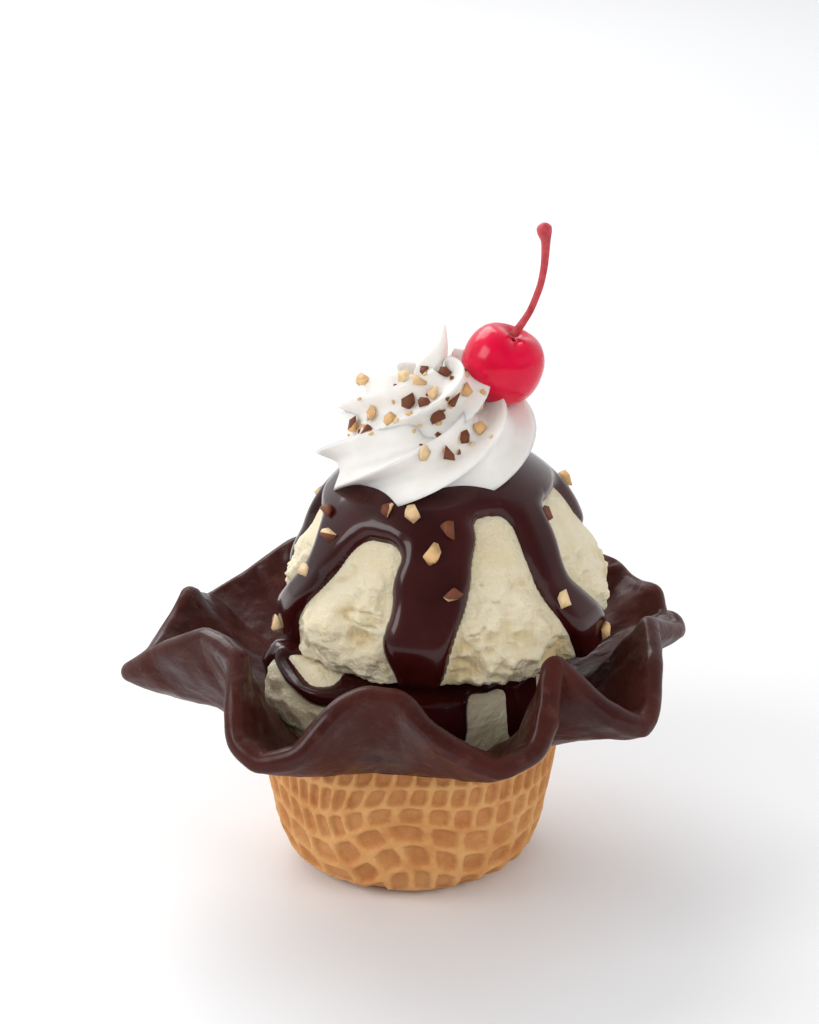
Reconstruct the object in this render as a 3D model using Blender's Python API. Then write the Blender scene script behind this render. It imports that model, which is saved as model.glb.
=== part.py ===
"""Ice cream sundae in a ruffled waffle bowl dipped in chocolate.

Metres in the file, millimetres in the tables. Origin at the middle of the bowl's foot, on the
surface it stands on. +X is the right of the sundae as it faces the viewer, -Y is its front.
Azimuths are degrees round +Z from +X, so the front is -90.
"""
import math

import bpy
import bmesh
import numpy as np

MM = 0.001

# Waffle bowl. The cup is turned; its wall leaves it and ruffles out to the rim table.
COLUMNS = 64
FOOT_RADIUS = 21.8
CUP_HEIGHT = 38.0
CUP_OUTSIDE = ((0.9, 24.6), (2.6, 27.9), (4.4, 29.6), (10.7, 31.9), (22.4, 34.0), (38.0, 36.4))
CUP_WALL = 2.6
FLOOR_THICKNESS = 3.0
FLARE_HALF_WALL = 0.85
POCKET_ROWS = 6
POCKET_DEPTH = 1.2
FLARE_STEPS = (0.25, 0.5, 0.75, 1.0)
# Rim: azimuth, radius, height of the top edge of the wall.
RIM = ((-175.7, 66.2, 47.4), (-165, 58, 57.8), (-154.5, 51, 64.6), (-146, 50.2, 65), (-138.6, 50.6, 63.8),
       (-132.2, 57, 57), (-129.5, 60.2, 50.4), (-122.4, 60.8, 47.2), (-113.8, 58.4, 50.4),
       (-110.3, 55.2, 56.4), (-106.8, 52, 60.2), (-101.5, 48.6, 62), (-92, 49.2, 61.9),
       (-87.5, 50.8, 56.8), (-82.8, 52.4, 53.2), (-70, 57, 46.4), (-60.2, 55.8, 48.8),
       (-55.5, 53.9, 56.2), (-52.5, 50.2, 64.2), (-49, 49.6, 65.4), (-45.2, 51.6, 60.2),
       (-41, 56.2, 53.8), (-36.5, 60.2, 49.8), (-32.3, 61.8, 47.2), (-27, 61, 49.2),
       (-19.3, 58.6, 55.5), (-5.2, 55.3, 60), (4, 60, 54.5), (10.4, 65.2, 50.6), (14.2, 65.2, 52.4),
       (18, 63.4, 50), (22.7, 64.8, 55.4), (28, 63.8, 53.8), (33, 63.2, 54.2), (36.5, 63.2, 56.4),
       (44, 61, 57.2), (66, 63, 50), (84, 53.5, 61), (103, 63, 50), (120, 56.5, 58.2), (131, 61, 50),
       (142, 63, 46.4), (152, 60.2, 51.6), (158, 57.2, 56.6), (163, 58.2, 52), (170, 59.4, 49.4),
       (177, 60.4, 48.4))
# Where the flared wall bends: share of the rise and of the reach from the cup's edge to the rim.
BEND_UP = 0.2
BEND_OUT = 0.45

# Chocolate dip: a skin over both sides of the flared wall, rolled over its edge.
GAP = 0.3
FOLD_GAP = 0.42
DIP_SKIN = 0.9
DIP_LINE_WAVE = 1.5

# Scoops, from their own centres.
LOWER_CENTRE = (0.0, 0.0, 36.0)
LOWER_SIDE = ((0, -32.1), (20, -32.1), (25.4, -29.6), (28.2, -25), (30.2, -14), (31.5, 2), (31.7, 9),
              (30.6, 15), (26.5, 18.2), (0, 18.2))
UPPER_CENTRE = (8.3, 2.0, 67.3)
DOME_RADIUS = 34.0
SKIRT_RADIUS = 37.0
SKIRT_FOOT = 9.8

# Fudge: where it reaches, as a cap whose edge angle from the pole varies, and streams down from it.
# A stream is a chain of (azimuth, angle from the pole, half width in millimetres).
CAP_EDGE = ((-180, 54), (-150, 56), (-121, 55), (-111, 56), (-94, 55), (-78, 46), (-65, 42.3), (-54, 45),
            (-40, 48), (-25, 45), (0, 46), (30, 48), (90, 51), (150, 50))
CAP_STREAMS = (
    ((-94, 50, 8.6), (-93, 66, 8.0), (-97, 80, 8.2), (-99.5, 89, 7.4), (-100, 99, 6.2)),
    ((-42.5, 46, 5.0), (-43.5, 62, 5.0), (-42, 74, 5.4), (-34, 86, 6.2), (-24, 98, 6.2)),
    ((-148, 52, 8.0), (-148, 66, 5.4), (-155, 80, 4.8), (-163, 92, 4.6), (-169, 101, 6.4)),
    ((22, 44, 6.6), (26, 66, 6.2)),
    ((70, 46, 7.4), (74, 72, 6.8), (72, 92, 6.8)),
    ((112, 46, 6.8), (114, 64, 6.4)),
    ((152, 46, 7.2), (156, 70, 6.6), (152, 86, 6.8)))
CAP_THICKNESS = 2.4
POOL_EDGE = ((-180, 54), (-140, 50), (-119, 50), (-100, 62), (-60, 52), (-30, 58), (60, 50), (120, 54))
POOL_STREAMS = (
    ((-106, 50, 7.5), (-104, 72, 6.6)),
    ((-78, 50, 8.0), (-78, 76, 6.4)),
    ((-33, 50, 6.0), (-36, 74, 5.2)),
    ((-172, 52, 7.0), (-170, 68, 5.0)),
    ((20, 50, 8.0), (24, 68, 5.4)),
    ((96, 50, 7.0), (92, 70, 5.6)))
POOL_THICKNESS = 1.6
FUDGE_EDGE = 0.8

# Whipped cream swirl: axis foot, tip, and how wide the swirl is at each height.
CREAM_FOOT = (5.0, 2.0)
CREAM_TIP = (7.8, 3.0, 130.6)
CREAM_WIDTH = ((92, 20.8), (96, 22.6), (100, 23.0), (106, 22.2), (112, 19.6), (117, 15.6), (121, 11.4),
               (123.5, 6.6), (126, 3.6), (128.5, 1.7), (130.6, 0.0))
CREAM_EDGE_RADIUS = 21.2
CREAM_CLEARANCE = 37.7
TURN_HEIGHTS = (99.0, 109.0, 118.0, 124.0)

# Cherry and stem.
CHERRY_CENTRE = (21.2, 5.0, 120.3)
CHERRY_RADIUS = 9.7
CHERRY_LEAN = 20.0
STEM = ((23.95, 5.0, 127.75), (25.6, 5.0, 130.1), (27.4, 5.0, 133.0), (29.5, 5.0, 138.8), (30.3, 5.0, 143.6),
        (30.5, 5.0, 149.4), (30.1, 5.0, 151.2), (29.9, 5.0, 153.2))
STEM_RADII = (0.95, 0.85, 0.8, 0.8, 0.85, 1.0, 1.7, 1.3)

# Chopped nuts: azimuth and angle from the pole on the fudge cap; azimuth and height on the cream.
NUT_SIZE = (3.6, 2.7, 2.6)
NUT_LIFT = 0.45
CAP_NUTS = ((-157, 52), (-146, 59), (-120, 43.5), (-107, 43), (-89, 48.5), (-96, 57), (-88, 71), (-153, 74),
            (-168, 99), (-45, 79), (-26, 96), (-35, 49), (23, 54), (70, 70), (110, 52), (152, 62))
CREAM_NUTS = ((-133, 121), (-52, 120), (-150, 118), (-106, 118.5), (-88, 115), (-113, 113), (-98, 112.5),
              (-70, 114), (-85, 109.5), (-146, 108), (-122, 108), (-38, 111), (-49, 105), (-66, 104),
              (-95, 101.5), (-80, 101), (-141, 103), (-166, 103), (-52, 115.5), (40, 108), (95, 113),
              (140, 105), (75, 102), (175, 113))
SEED = 41


def material(name, colour, roughness):
    mat = bpy.data.materials.new(name)
    mat.use_nodes = True
    shader = mat.node_tree.nodes["Principled BSDF"]
    shader.inputs["Base Color"].default_value = (*colour, 1.0)
    shader.inputs["Roughness"].default_value = roughness
    return mat


def add_solid(name, points, triangles, mat, smooth=True):
    """One object from points in millimetres and triangles, with its faces turned outward."""
    mesh = bpy.data.meshes.new(name)
    mesh.from_pydata((np.asarray(points) * MM).tolist(), [], [tuple(int(i) for i in t) for t in triangles])
    work = bmesh.new()
    work.from_mesh(mesh)
    bmesh.ops.recalc_face_normals(work, faces=work.faces)
    if work.calc_volume(signed=True) < 0:
        bmesh.ops.reverse_faces(work, faces=work.faces)
    work.to_mesh(mesh)
    work.free()
    mesh.shade_smooth() if smooth else mesh.shade_flat()
    mesh.materials.append(mat)
    part = bpy.data.objects.new(name, mesh)
    bpy.context.scene.collection.objects.link(part)
    return part


def strip(lower, upper, count, turned=False):
    """Triangles between two rings of points; the diagonal runs the same way however it is walked."""
    out = []
    for j in range(count):
        k = (j + 1) % count
        if turned:
            out += [(lower + j, upper + j, lower + k), (upper + j, upper + k, lower + k)]
        else:
            out += [(lower + j, upper + j, upper + k), (lower + j, upper + k, lower + k)]
    return out


def polar(azimuth, radius, height):
    azimuth = np.radians(azimuth)
    return np.stack([radius * np.cos(azimuth), radius * np.sin(azimuth), height + 0 * azimuth], -1)


def rim_points(count):
    """Azimuth, radius and height of points spread along the rim's own length."""
    fine = np.arange(-180.0, 180.0, 0.5)
    table = np.array(RIM)
    radius = np.interp(fine, table[:, 0], table[:, 1], period=360)
    height = np.interp(fine, table[:, 0], table[:, 2], period=360)
    kernel = np.exp(-0.5 * (np.arange(-12, 13) / 4.4) ** 2)
    kernel /= kernel.sum()
    radius, height = (np.convolve(np.concatenate([v[-12:], v, v[:12]]), kernel, "valid")
                      for v in (radius, height))
    edge = polar(fine, radius, height)
    step = np.linalg.norm(np.roll(edge, -1, 0) - edge, axis=1) + 0.25
    travel = np.concatenate([[0], np.cumsum(step)])
    place = np.interp(np.arange(count) / count * travel[-1], travel, np.append(fine, 180.0))
    return place, np.interp(place, fine, radius, period=360), np.interp(place, fine, height, period=360)


def wall_rows():
    """The middle surface of the bowl's wall, from low in the cup to the rim, with its side direction."""
    even = -180.0 + 360.0 * np.arange(COLUMNS) / COLUMNS
    heights, radii = np.array(CUP_OUTSIDE).T
    cup = np.linspace(4.4, CUP_HEIGHT, 2 * POCKET_ROWS + 1)
    rows = [polar(even, np.interp(z, heights, radii) - CUP_WALL / 2, z) for z in cup]
    rim_azimuth, rim_radius, rim_height = rim_points(COLUMNS)
    start = radii[-1] - CUP_WALL / 2
    bend_radius = start + BEND_OUT * (rim_radius - start)
    bend_height = CUP_HEIGHT + BEND_UP * (rim_height - CUP_HEIGHT)
    for s in FLARE_STEPS:
        keep, bend, end = (1 - s) ** 2, 2 * s * (1 - s), s * s
        radius = keep * start + bend * bend_radius + end * rim_radius
        height = keep * CUP_HEIGHT + bend * bend_height + end * rim_height
        rows.append(polar(even + s * (rim_azimuth - even), radius, height))
    rows = np.array(rows)
    along = np.gradient(rows, axis=0)
    around = np.roll(rows, -1, 1) - np.roll(rows, 1, 1)
    side = np.cross(around, along)
    side /= np.linalg.norm(side, axis=2, keepdims=True)
    side[2 * POCKET_ROWS] = side[2 * POCKET_ROWS - 1]
    along /= np.linalg.norm(along, axis=2, keepdims=True)
    return rows, side, along[-1]


def waffle_bowl(mat):
    """The baked wafer: flat foot, cup with pressed pockets outside, flared wall up to the rim."""
    rows, side, _ = wall_rows()
    even = -180.0 + 360.0 * np.arange(COLUMNS) / COLUMNS
    half = np.full(len(rows), FLARE_HALF_WALL)
    half[:2 * POCKET_ROWS + 1] = CUP_WALL / 2
    outer = rows + half[:, None, None] * side
    for i in range(1, 2 * POCKET_ROWS, 2):
        outer[i, 1::2] -= POCKET_DEPTH * side[i, 1::2]
    inner = rows - half[:, None, None] * side
    rings = [polar(even, FOOT_RADIUS, 0.0)]
    rings += [polar(even, radius, z) for z, radius in CUP_OUTSIDE[:2]]
    rings += list(outer) + list(inner[:2 * POCKET_ROWS - 1:-1])
    heights, radii = np.array(CUP_OUTSIDE).T
    rings += [polar(even, np.interp(z, heights, radii) - CUP_WALL, z) for z in (22.0, 6.5)]
    rings.append(polar(even, FOOT_RADIUS, FLOOR_THICKNESS))
    points = np.concatenate(rings + [[(0, 0, 0), (0, 0, FLOOR_THICKNESS)]])
    total = len(rings)
    triangles = []
    top = 3 + len(outer)
    for i in range(total - 1):
        triangles += strip(i * COLUMNS, (i + 1) * COLUMNS, COLUMNS, turned=i >= top)
    for j in range(COLUMNS):
        k = (j + 1) % COLUMNS
        triangles.append((total * COLUMNS, j, k))
        triangles.append((total * COLUMNS + 1, (total - 1) * COLUMNS + k, (total - 1) * COLUMNS + j))
    return add_solid("waffle_bowl", points, triangles, mat)


def chocolate_dip(mat):
    """Chocolate set over both sides of the flared wall and rolled over its edge."""
    rows, side, lift = wall_rows()
    first = 2 * POCKET_ROWS
    near = FLARE_HALF_WALL + FOLD_GAP
    far = near + DIP_SKIN
    even = np.radians(-180.0 + 360.0 * np.arange(COLUMNS) / COLUMNS)
    wave = DIP_LINE_WAVE * (0.5 + 0.25 * np.sin(5 * even + 1.0) + 0.25 * np.sin(9 * even + 2.6))
    low = rows[first].copy()
    low[:, 2] -= wave
    low[:, :2] *= (1 - 0.0037 * wave)[:, None]
    body, turn = rows[first + 1:], side[first + 1:]
    root = CUP_WALL / 2 + GAP
    edge, across = rows[-1], side[-1]
    outside = [low + (root + 0.6 * DIP_SKIN) * side[first]] + list(body + far * turn)
    roll = [edge + a * across + b * lift for a, b in ((0.82 * far, 1.5), (0.0, 2.3), (-0.82 * far, 1.5))]
    inside = list((body - far * turn)[::-1])
    pocket_in = list(body - near * turn)
    roof = [edge - near * across + 0.75 * lift, edge + near * across + 0.75 * lift]
    pocket_out = list((body + near * turn)[::-1]) + [low + root * side[first]]
    rings = outside + roll + inside + pocket_in + roof + pocket_out
    falling = set(range(len(outside) + 2, len(outside) + 2 + len(inside)))
    start_out = len(rings) - len(pocket_out)
    falling |= set(range(start_out - 1, len(rings) - 1))
    triangles = []
    for i in range(len(rings)):
        triangles += strip(i * COLUMNS, (i + 1) % len(rings) * COLUMNS, COLUMNS, turned=i in falling)
    return add_solid("chocolate_dip", np.concatenate(rings), triangles, mat)


def lumps(points, size, height, phase):
    """Soft lumps: a sum of waves in fixed directions, size and height in millimetres."""
    rng = np.random.default_rng(SEED + phase)
    total = np.zeros(points.shape[:-1])
    for _ in range(9):
        way = rng.normal(size=3)
        way *= 2 * math.pi / size / np.linalg.norm(way) * rng.uniform(0.7, 1.4)
        total += np.sin(points @ way + rng.uniform(0, 6.28))
    return height * total / 3


def side_radius(side, angle):
    """Distance from the centre to a turned outline, looking out at an angle from the pole."""
    outline = np.array(side, float)
    dense = np.concatenate([np.linspace(a, b, 24, endpoint=False) for a, b in zip(outline[:-1], outline[1:])]
                           + [outline[-1:]])
    look = np.degrees(np.arctan2(dense[:, 0], dense[:, 1]))
    order = np.argsort(look)
    return np.interp(angle, look[order], np.hypot(dense[:, 0], dense[:, 1])[order])


def directions(azimuth, angle):
    a, t = np.radians(azimuth), np.radians(angle)
    return np.stack([np.sin(t) * np.cos(a), np.sin(t) * np.sin(a), np.cos(t)], -1)


def lower_radius(azimuth, angle):
    """The pressed lower scoop: turned to the cup, with soft lumps and two that bulge at the front left."""
    way = directions(azimuth, angle)
    radius = side_radius(LOWER_SIDE, angle)
    open_part = np.clip((88 - angle) / 20, 0, 1) * np.clip((angle - 42) / 12, 0, 1)
    radius = radius + open_part * lumps(way * 33, 14, 0.5, 1)
    for place, tilt, height, spread in ((-131, 62, 4.6, 10), (-157, 57, 5.6, 9.5), (60, 62, 3.0, 11)):
        near = np.degrees(np.arccos(np.clip(way @ directions(place, tilt), -1, 1)))
        radius = radius + height * np.exp(-0.5 * (near / spread) ** 2)
    return np.where(angle < 50, np.minimum(radius, 18.2 / np.maximum(np.cos(np.radians(angle)), 0.3)), radius)


def upper_radius(azimuth, angle):
    """The upper scoop: a round dome over a ragged skirt, cut flat where it sits on the fudge."""
    way = directions(azimuth, angle)
    flare = np.clip((angle - 72) / 20, 0, 1)
    radius = DOME_RADIUS + (SKIRT_RADIUS - DOME_RADIUS) * flare * flare * (3 - 2 * flare)
    radius = radius + lumps(way * 34, 13, 1.0, 2) * flare + 0.25 * lumps(way * 34, 20, 1.0, 3)
    for place, tilt, height, spread in ((-137, 88, 1.6, 8), (8, 84, 2.0, 10), (-62, 99, 1.2, 9)):
        near = np.degrees(np.arccos(np.clip(way @ directions(place, tilt), -1, 1)))
        radius = radius + height * np.exp(-0.5 * (near / spread) ** 2)
    drop = np.maximum(-np.cos(np.radians(angle)), 1e-3)
    return np.minimum(radius, SKIRT_FOOT / drop)


def fudge_field(azimuth, angle, edge, streams, radius):
    """Millimetres inside the fudge's edge: positive where it covers, negative where it doesn't."""
    table = np.array(edge, float)
    field = (np.interp(azimuth, table[:, 0], table[:, 1], period=360) - angle) * math.radians(1) * radius
    here = directions(azimuth, angle)
    for chain in streams:
        best = np.full(azimuth.shape, -1e3)
        for (a0, t0, w0), (a1, t1, w1) in zip(chain[:-1], chain[1:]):
            a, b = directions(a0, t0), directions(a1, t1)
            share = np.clip((here - a) @ (b - a) / ((b - a) @ (b - a)), 0, 1)
            foot = a + share[..., None] * (b - a)
            foot = foot / np.linalg.norm(foot, axis=-1, keepdims=True)
            apart = radius * np.linalg.norm(here - foot, axis=-1)
            best = np.maximum(best, w0 + share * (w1 - w0) - apart)
        blend = np.clip(0.5 + 0.5 * (best - field) / 2.5, 0, 1)
        field = field * (1 - blend) + best * blend + 2.5 * blend * (1 - blend)
    return field


def fudge_depth(level, thickness):
    """Fudge thickness, rounded down to its edge."""
    return FUDGE_EDGE + (thickness - FUDGE_EDGE) * np.sqrt(1 - (1 - np.clip(level / 3.2, 0, 1)) ** 2)


def spread_azimuths(front, back):
    """Azimuths set closer together across the front than across the back."""
    return np.concatenate([np.linspace(-190, 12, front, endpoint=False), np.linspace(12, 170, back, endpoint=False)])


def kept_cells(field, radius):
    """Which cells of the grid the fudge covers, with no two meeting only at a corner."""
    inside = field > -0.3 * 0.12 * radius
    kept = inside[:-1] & inside[1:]
    kept = kept & np.roll(kept, -1, 1)
    level = (field[:-1] + field[1:] + np.roll(field[:-1] + field[1:], -1, 1))
    for _ in range(12):
        left, right = kept, np.roll(kept, -1, 1)
        cross = ((left[:-1] & right[1:] & ~right[:-1] & ~left[1:])
                 | (right[:-1] & left[1:] & ~left[:-1] & ~right[1:]))
        if not cross.any():
            break
        for i, j in zip(*np.nonzero(cross)):
            k = (j + 1) % kept.shape[1]
            group = [(i, j), (i + 1, k)] if kept[i, j] else [(i, k), (i + 1, j)]
            kept[min(group, key=lambda cell: level[cell])] = False
    return kept


def settle_edge(azimuth, angle, kept, field_at, radius):
    """Slide the points on the border of the covered cells on to the fudge's true edge."""
    around = np.zeros((azimuth.shape[0] + 1, azimuth.shape[1]), int)
    around[1:-1] = kept
    count = around[1:] + around[:-1]
    count = count + np.roll(count, 1, 1)
    border = (count > 0) & (count < 4)
    border[0] = border[-1] = False
    reach_t = 0.46 * np.minimum(np.diff(angle, axis=0, prepend=0), np.diff(angle, axis=0, append=180))
    reach_a = 0.46 * np.minimum((np.roll(azimuth, -1, 1) - azimuth) % 360, (azimuth - np.roll(azimuth, 1, 1)) % 360)
    moved_a, moved_t = azimuth.copy(), angle.copy()
    for _ in range(4):
        level = field_at(moved_a, moved_t)
        slope_t = (field_at(moved_a, moved_t + 0.5) - level) / 0.5
        slope_a = (field_at(moved_a + 0.5, moved_t) - level) / 0.5
        size = slope_t ** 2 + (slope_a / np.sin(np.radians(moved_t)).clip(0.15)) ** 2
        size = np.maximum(size, 0.01)
        moved_t = np.where(border, moved_t - 0.8 * level * slope_t / size, moved_t)
        moved_a = np.where(border, moved_a - 0.8 * level * slope_a / np.sin(np.radians(moved_t)).clip(0.15) ** 2 / size,
                           moved_a)
        moved_t = np.clip(moved_t, angle - reach_t, angle + reach_t)
        moved_a = np.clip(moved_a, azimuth - reach_a, azimuth + reach_a)
    return moved_a, moved_t, border


def scoop_and_fudge(names, centre, radius_at, angles, azimuths, fudge, mats):
    """A scoop and the fudge that lies on it, built on one grid so that their faces run parallel."""
    edge, streams, thickness, size, lowest = fudge
    centre = np.array(centre)
    azimuth, angle = np.meshgrid(azimuths, angles)
    azimuth, angle = azimuth.astype(float), angle.astype(float)

    def field_at(a, t):
        return np.minimum(fudge_field(a, t, edge, streams, size), (lowest - t) * math.radians(1) * size)

    kept = kept_cells(np.where(angle > lowest + 0.01, -9, field_at(azimuth, angle)), size)
    azimuth, angle, border = settle_edge(azimuth, angle, kept, field_at, size)
    count = azimuth.shape[1]
    radius = radius_at(azimuth, angle)
    ways = directions(azimuth, angle)
    points = centre + radius[..., None] * ways
    poles = [centre + (0, 0, float(radius_at(np.zeros(1), np.full(1, pole))[0]) * sign)
             for pole, sign in ((0.0, 1), (180.0, -1))]
    rows = len(angles)
    triangles = []
    for i in range(rows - 1):
        triangles += strip(i * count, (i + 1) * count, count)
    for j in range(count):
        k = (j + 1) % count
        triangles.append((rows * count, j, k))
        triangles.append((rows * count + 1, (rows - 1) * count + k, (rows - 1) * count + j))
    scoop = add_solid(names[0], np.concatenate([points.reshape(-1, 3), poles]), triangles, mats[0])

    level = np.where(border, 0, np.maximum(field_at(azimuth, angle), 0.3))
    deep = fudge_depth(level, thickness)
    under = centre + (radius + 0.36)[..., None] * ways
    over = centre + (radius + 0.36 + deep)[..., None] * ways
    tops = [poles[0] + (0, 0, lift) for lift in (0.36, 0.36 + thickness)]
    used = sorted({(i, j) for i, j in zip(*np.nonzero(kept)) for i, j in
                   ((i, j), (i + 1, j), (i, (j + 1) % count), (i + 1, (j + 1) % count))})
    number = {cell: n for n, cell in enumerate(used)}
    half = len(used)
    cover = [under[cell] for cell in used] + [over[cell] for cell in used] + tops
    faces, edges = [], {}

    def add(a, b, c):
        faces.append((a + half, b + half, c + half))
        faces.append((c, b, a))
        for pair in ((a, b), (b, c), (c, a)):
            if pair[::-1] in edges:
                del edges[pair[::-1]]
            else:
                edges[pair] = True

    for i, j in zip(*np.nonzero(kept)):
        k = (j + 1) % count
        a, b, c, d = (number[cell] for cell in ((i, j), (i + 1, j), (i + 1, k), (i, k)))
        add(a, b, c)
        add(a, c, d)
    for j in range(count):
        k = (j + 1) % count
        faces.append((2 * half + 1, number[0, j] + half, number[0, k] + half))
        faces.append((2 * half, number[0, k], number[0, j]))
        edges.pop((number[0, k], number[0, j]), None)
    for a, b in edges:
        faces += [(a, b, b + half), (a, b + half, a + half)]
        faces[-2:] = [tuple(reversed(face)) for face in faces[-2:]]
    coat = add_solid(names[1], cover, faces, mats[1])

    def on_top(a, t):
        a, t = np.array([a], float), np.array([t], float)
        lift = radius_at(a, t) + 0.36 + fudge_depth(np.maximum(field_at(a, t), 0), thickness)
        return centre + lift[0] * directions(a[0], t[0])

    return scoop, coat, on_top


def cream_radius(azimuth, height):
    """Width of the piped swirl: turns with a groove between them, and slanting ridges of the nozzle."""
    heights, widths = np.array(CREAM_WIDTH).T
    base = np.interp(height, heights, widths)
    turns = np.interp(height, TURN_HEIGHTS, np.arange(len(TURN_HEIGHTS)), left=-1)
    turns = np.where(height < TURN_HEIGHTS[0], (height - TURN_HEIGHTS[0]) / 9.0, turns)
    phase = (turns - (azimuth + 180) / 360) % 1.0
    groove = (1 - np.sin(math.pi * phase)) ** 2
    ridge = 0.5 + 0.5 * np.cos(np.radians(9 * azimuth) + 5.0 * phase + 2.2 * turns)
    fade = np.clip((126 - height) / 8, 0, 1)
    lobe = 1 + 0.07 * np.exp(-((azimuth + 15) / 45) ** 2) * np.clip((116 - height) / 8, 0, 1)
    return base * lobe * (1 - fade * (0.17 * groove + 0.055 * ridge))


def cream_axis(height):
    share = np.clip((np.asarray(height, float) - 112) / (CREAM_TIP[2] - 112), 0, 1) ** 1.5
    return np.stack([CREAM_FOOT[0] + share * (CREAM_TIP[0] - CREAM_FOOT[0]),
                     CREAM_FOOT[1] + share * (CREAM_TIP[1] - CREAM_FOOT[1])], -1)


def cream_point(azimuth, height, out=0.0):
    axis = cream_axis(height)
    radius = cream_radius(azimuth, height) + out
    a = np.radians(azimuth)
    return np.stack([axis[..., 0] + radius * np.cos(a), axis[..., 1] + radius * np.sin(a),
                     height + 0 * radius], -1)


def whipped_cream(mat):
    """Swirl of whipped cream: closed below by a hollow that fits over the fudge cap."""
    count, rows = 36, 15
    azimuth = -180 + 360 * np.arange(count) / count
    edge = CREAM_EDGE_RADIUS + 1.3 * np.cos(np.radians(7 * azimuth + 40))
    edge += 3.6 * np.exp(-((azimuth + 172) / 12) ** 2)
    centre = np.array(UPPER_CENTRE)

    def on_cap(radius):
        x = CREAM_FOOT[0] + radius * np.cos(np.radians(azimuth))
        y = CREAM_FOOT[1] + radius * np.sin(np.radians(azimuth))
        return np.stack([x, y, centre[2] + np.sqrt(CREAM_CLEARANCE ** 2 - (x - centre[0]) ** 2
                                                   - (y - centre[1]) ** 2)], -1)

    rings = [on_cap(edge * share) for share in (0.3, 0.6, 0.82, 1.0)]
    low = rings[-1][:, 2]
    for i in range(rows):
        share = ((i + 0.7) / rows) ** 1.04
        height = low + (CREAM_TIP[2] - low) * share
        blend = min(1.0, 0.45 + 0.4 * i)
        ring = cream_point(azimuth, height)
        foot = rings[3] + (0, 0, 0)
        ring[:, :2] = blend * ring[:, :2] + (1 - blend) * foot[:, :2]
        rings.append(ring)
    points = np.concatenate(rings + [[(CREAM_FOOT[0], CREAM_FOOT[1], centre[2] + CREAM_CLEARANCE - 0.3), CREAM_TIP]])
    total = len(rings)
    triangles = []
    for i in range(total - 1):
        triangles += strip(i * count, (i + 1) * count, count)
    for j in range(count):
        k = (j + 1) % count
        triangles.append((total * count, j, k))
        triangles.append((total * count + 1, (total - 1) * count + k, (total - 1) * count + j))
    return add_solid("whipped_cream", points, triangles, mat)


def turned_to(way):
    """Three crossing directions, the last along way."""
    way = np.asarray(way, float) / np.linalg.norm(way)
    flat = np.cross(way, (0.3, 0.2, 1.0) if abs(way[2]) < 0.9 else (1.0, 0.0, 0.0))
    flat /= np.linalg.norm(flat)
    return np.stack([flat, np.cross(way, flat), way])


def nut_pieces(places, ways, mat, rng, label):
    """Chips of chopped nut, each a small uneven block lying on the surface."""
    chips = []
    for n, (place, way) in enumerate(zip(places, ways)):
        frame = turned_to(way)
        spin = rng.uniform(0, 2 * math.pi)
        a = math.cos(spin) * frame[0] + math.sin(spin) * frame[1]
        b = np.cross(frame[2], a)
        size = np.array(NUT_SIZE) * rng.uniform(0.8, 1.12, 3)
        corners = []
        for z in (-0.5, 0.5):
            taper = 1.0 if z < 0 else rng.uniform(0.55, 0.8)
            for x, y in ((-0.5, -0.5), (0.5, -0.5), (0.5, 0.5), (-0.5, 0.5)):
                local = np.array([x * taper, y * taper, z]) * size + rng.uniform(-0.18, 0.18, 3)
                corners.append(place + local[0] * a + local[1] * b + local[2] * frame[2])
        quads = ((0, 3, 2, 1), (4, 5, 6, 7), (0, 1, 5, 4), (1, 2, 6, 5), (2, 3, 7, 6), (3, 0, 4, 7))
        faces = [(q[0], q[1], q[2]) for q in quads] + [(q[0], q[2], q[3]) for q in quads]
        chips.append(add_solid(f"{label}_{n}", corners, faces, mat, smooth=False))
    return chips


def combine(body, others, operation, solver):
    """One Boolean of a body with a collection of pieces, applied; the pieces are then removed."""
    group = bpy.data.collections.new(body.name + "_pieces")
    bpy.context.scene.collection.children.link(group)
    for piece in others:
        group.objects.link(piece)
        piece.hide_render = True
        piece.display_type = "WIRE"
    step = body.modifiers.new("pieces", "BOOLEAN")
    step.operation = operation
    step.solver = solver
    step.operand_type = "COLLECTION"
    step.collection = group
    bpy.context.view_layer.update()
    result = bpy.data.meshes.new_from_object(body.evaluated_get(bpy.context.evaluated_depsgraph_get()))
    body.modifiers.clear()
    body.data = result
    for piece in others:
        bpy.data.objects.remove(piece)
    bpy.data.collections.remove(group)


def cherry(mat, radius, name="cherry", dimple=3.2):
    """A cherry that leans to the right, with a dimple where its stem stands."""
    count = 18
    lean = math.radians(CHERRY_LEAN)
    angles = np.array([10, 22, 38, 56, 76, 96, 116, 136, 158], float)
    azimuth = np.arange(count) * 360 / count
    rings = []
    for t in angles:
        r = radius * (1 - 0.03 * math.sin(math.radians(t)) ** 8) - dimple * math.exp(-(t / 20) ** 2)
        rings.append(r * directions(azimuth, np.full(count, t)))
    points = np.concatenate(rings + [[(0, 0, radius - dimple), (0, 0, -radius)]])
    x = points[:, 0] * math.cos(lean) + points[:, 2] * math.sin(lean)
    z = -points[:, 0] * math.sin(lean) + points[:, 2] * math.cos(lean)
    points = np.stack([x, points[:, 1], z], 1) + CHERRY_CENTRE
    total = len(angles)
    triangles = []
    for i in range(total - 1):
        triangles += strip(i * count, (i + 1) * count, count)
    for j in range(count):
        k = (j + 1) % count
        triangles.append((total * count, j, k))
        triangles.append((total * count + 1, (total - 1) * count + k, (total - 1) * count + j))
    return add_solid(name, points, triangles, mat)


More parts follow.
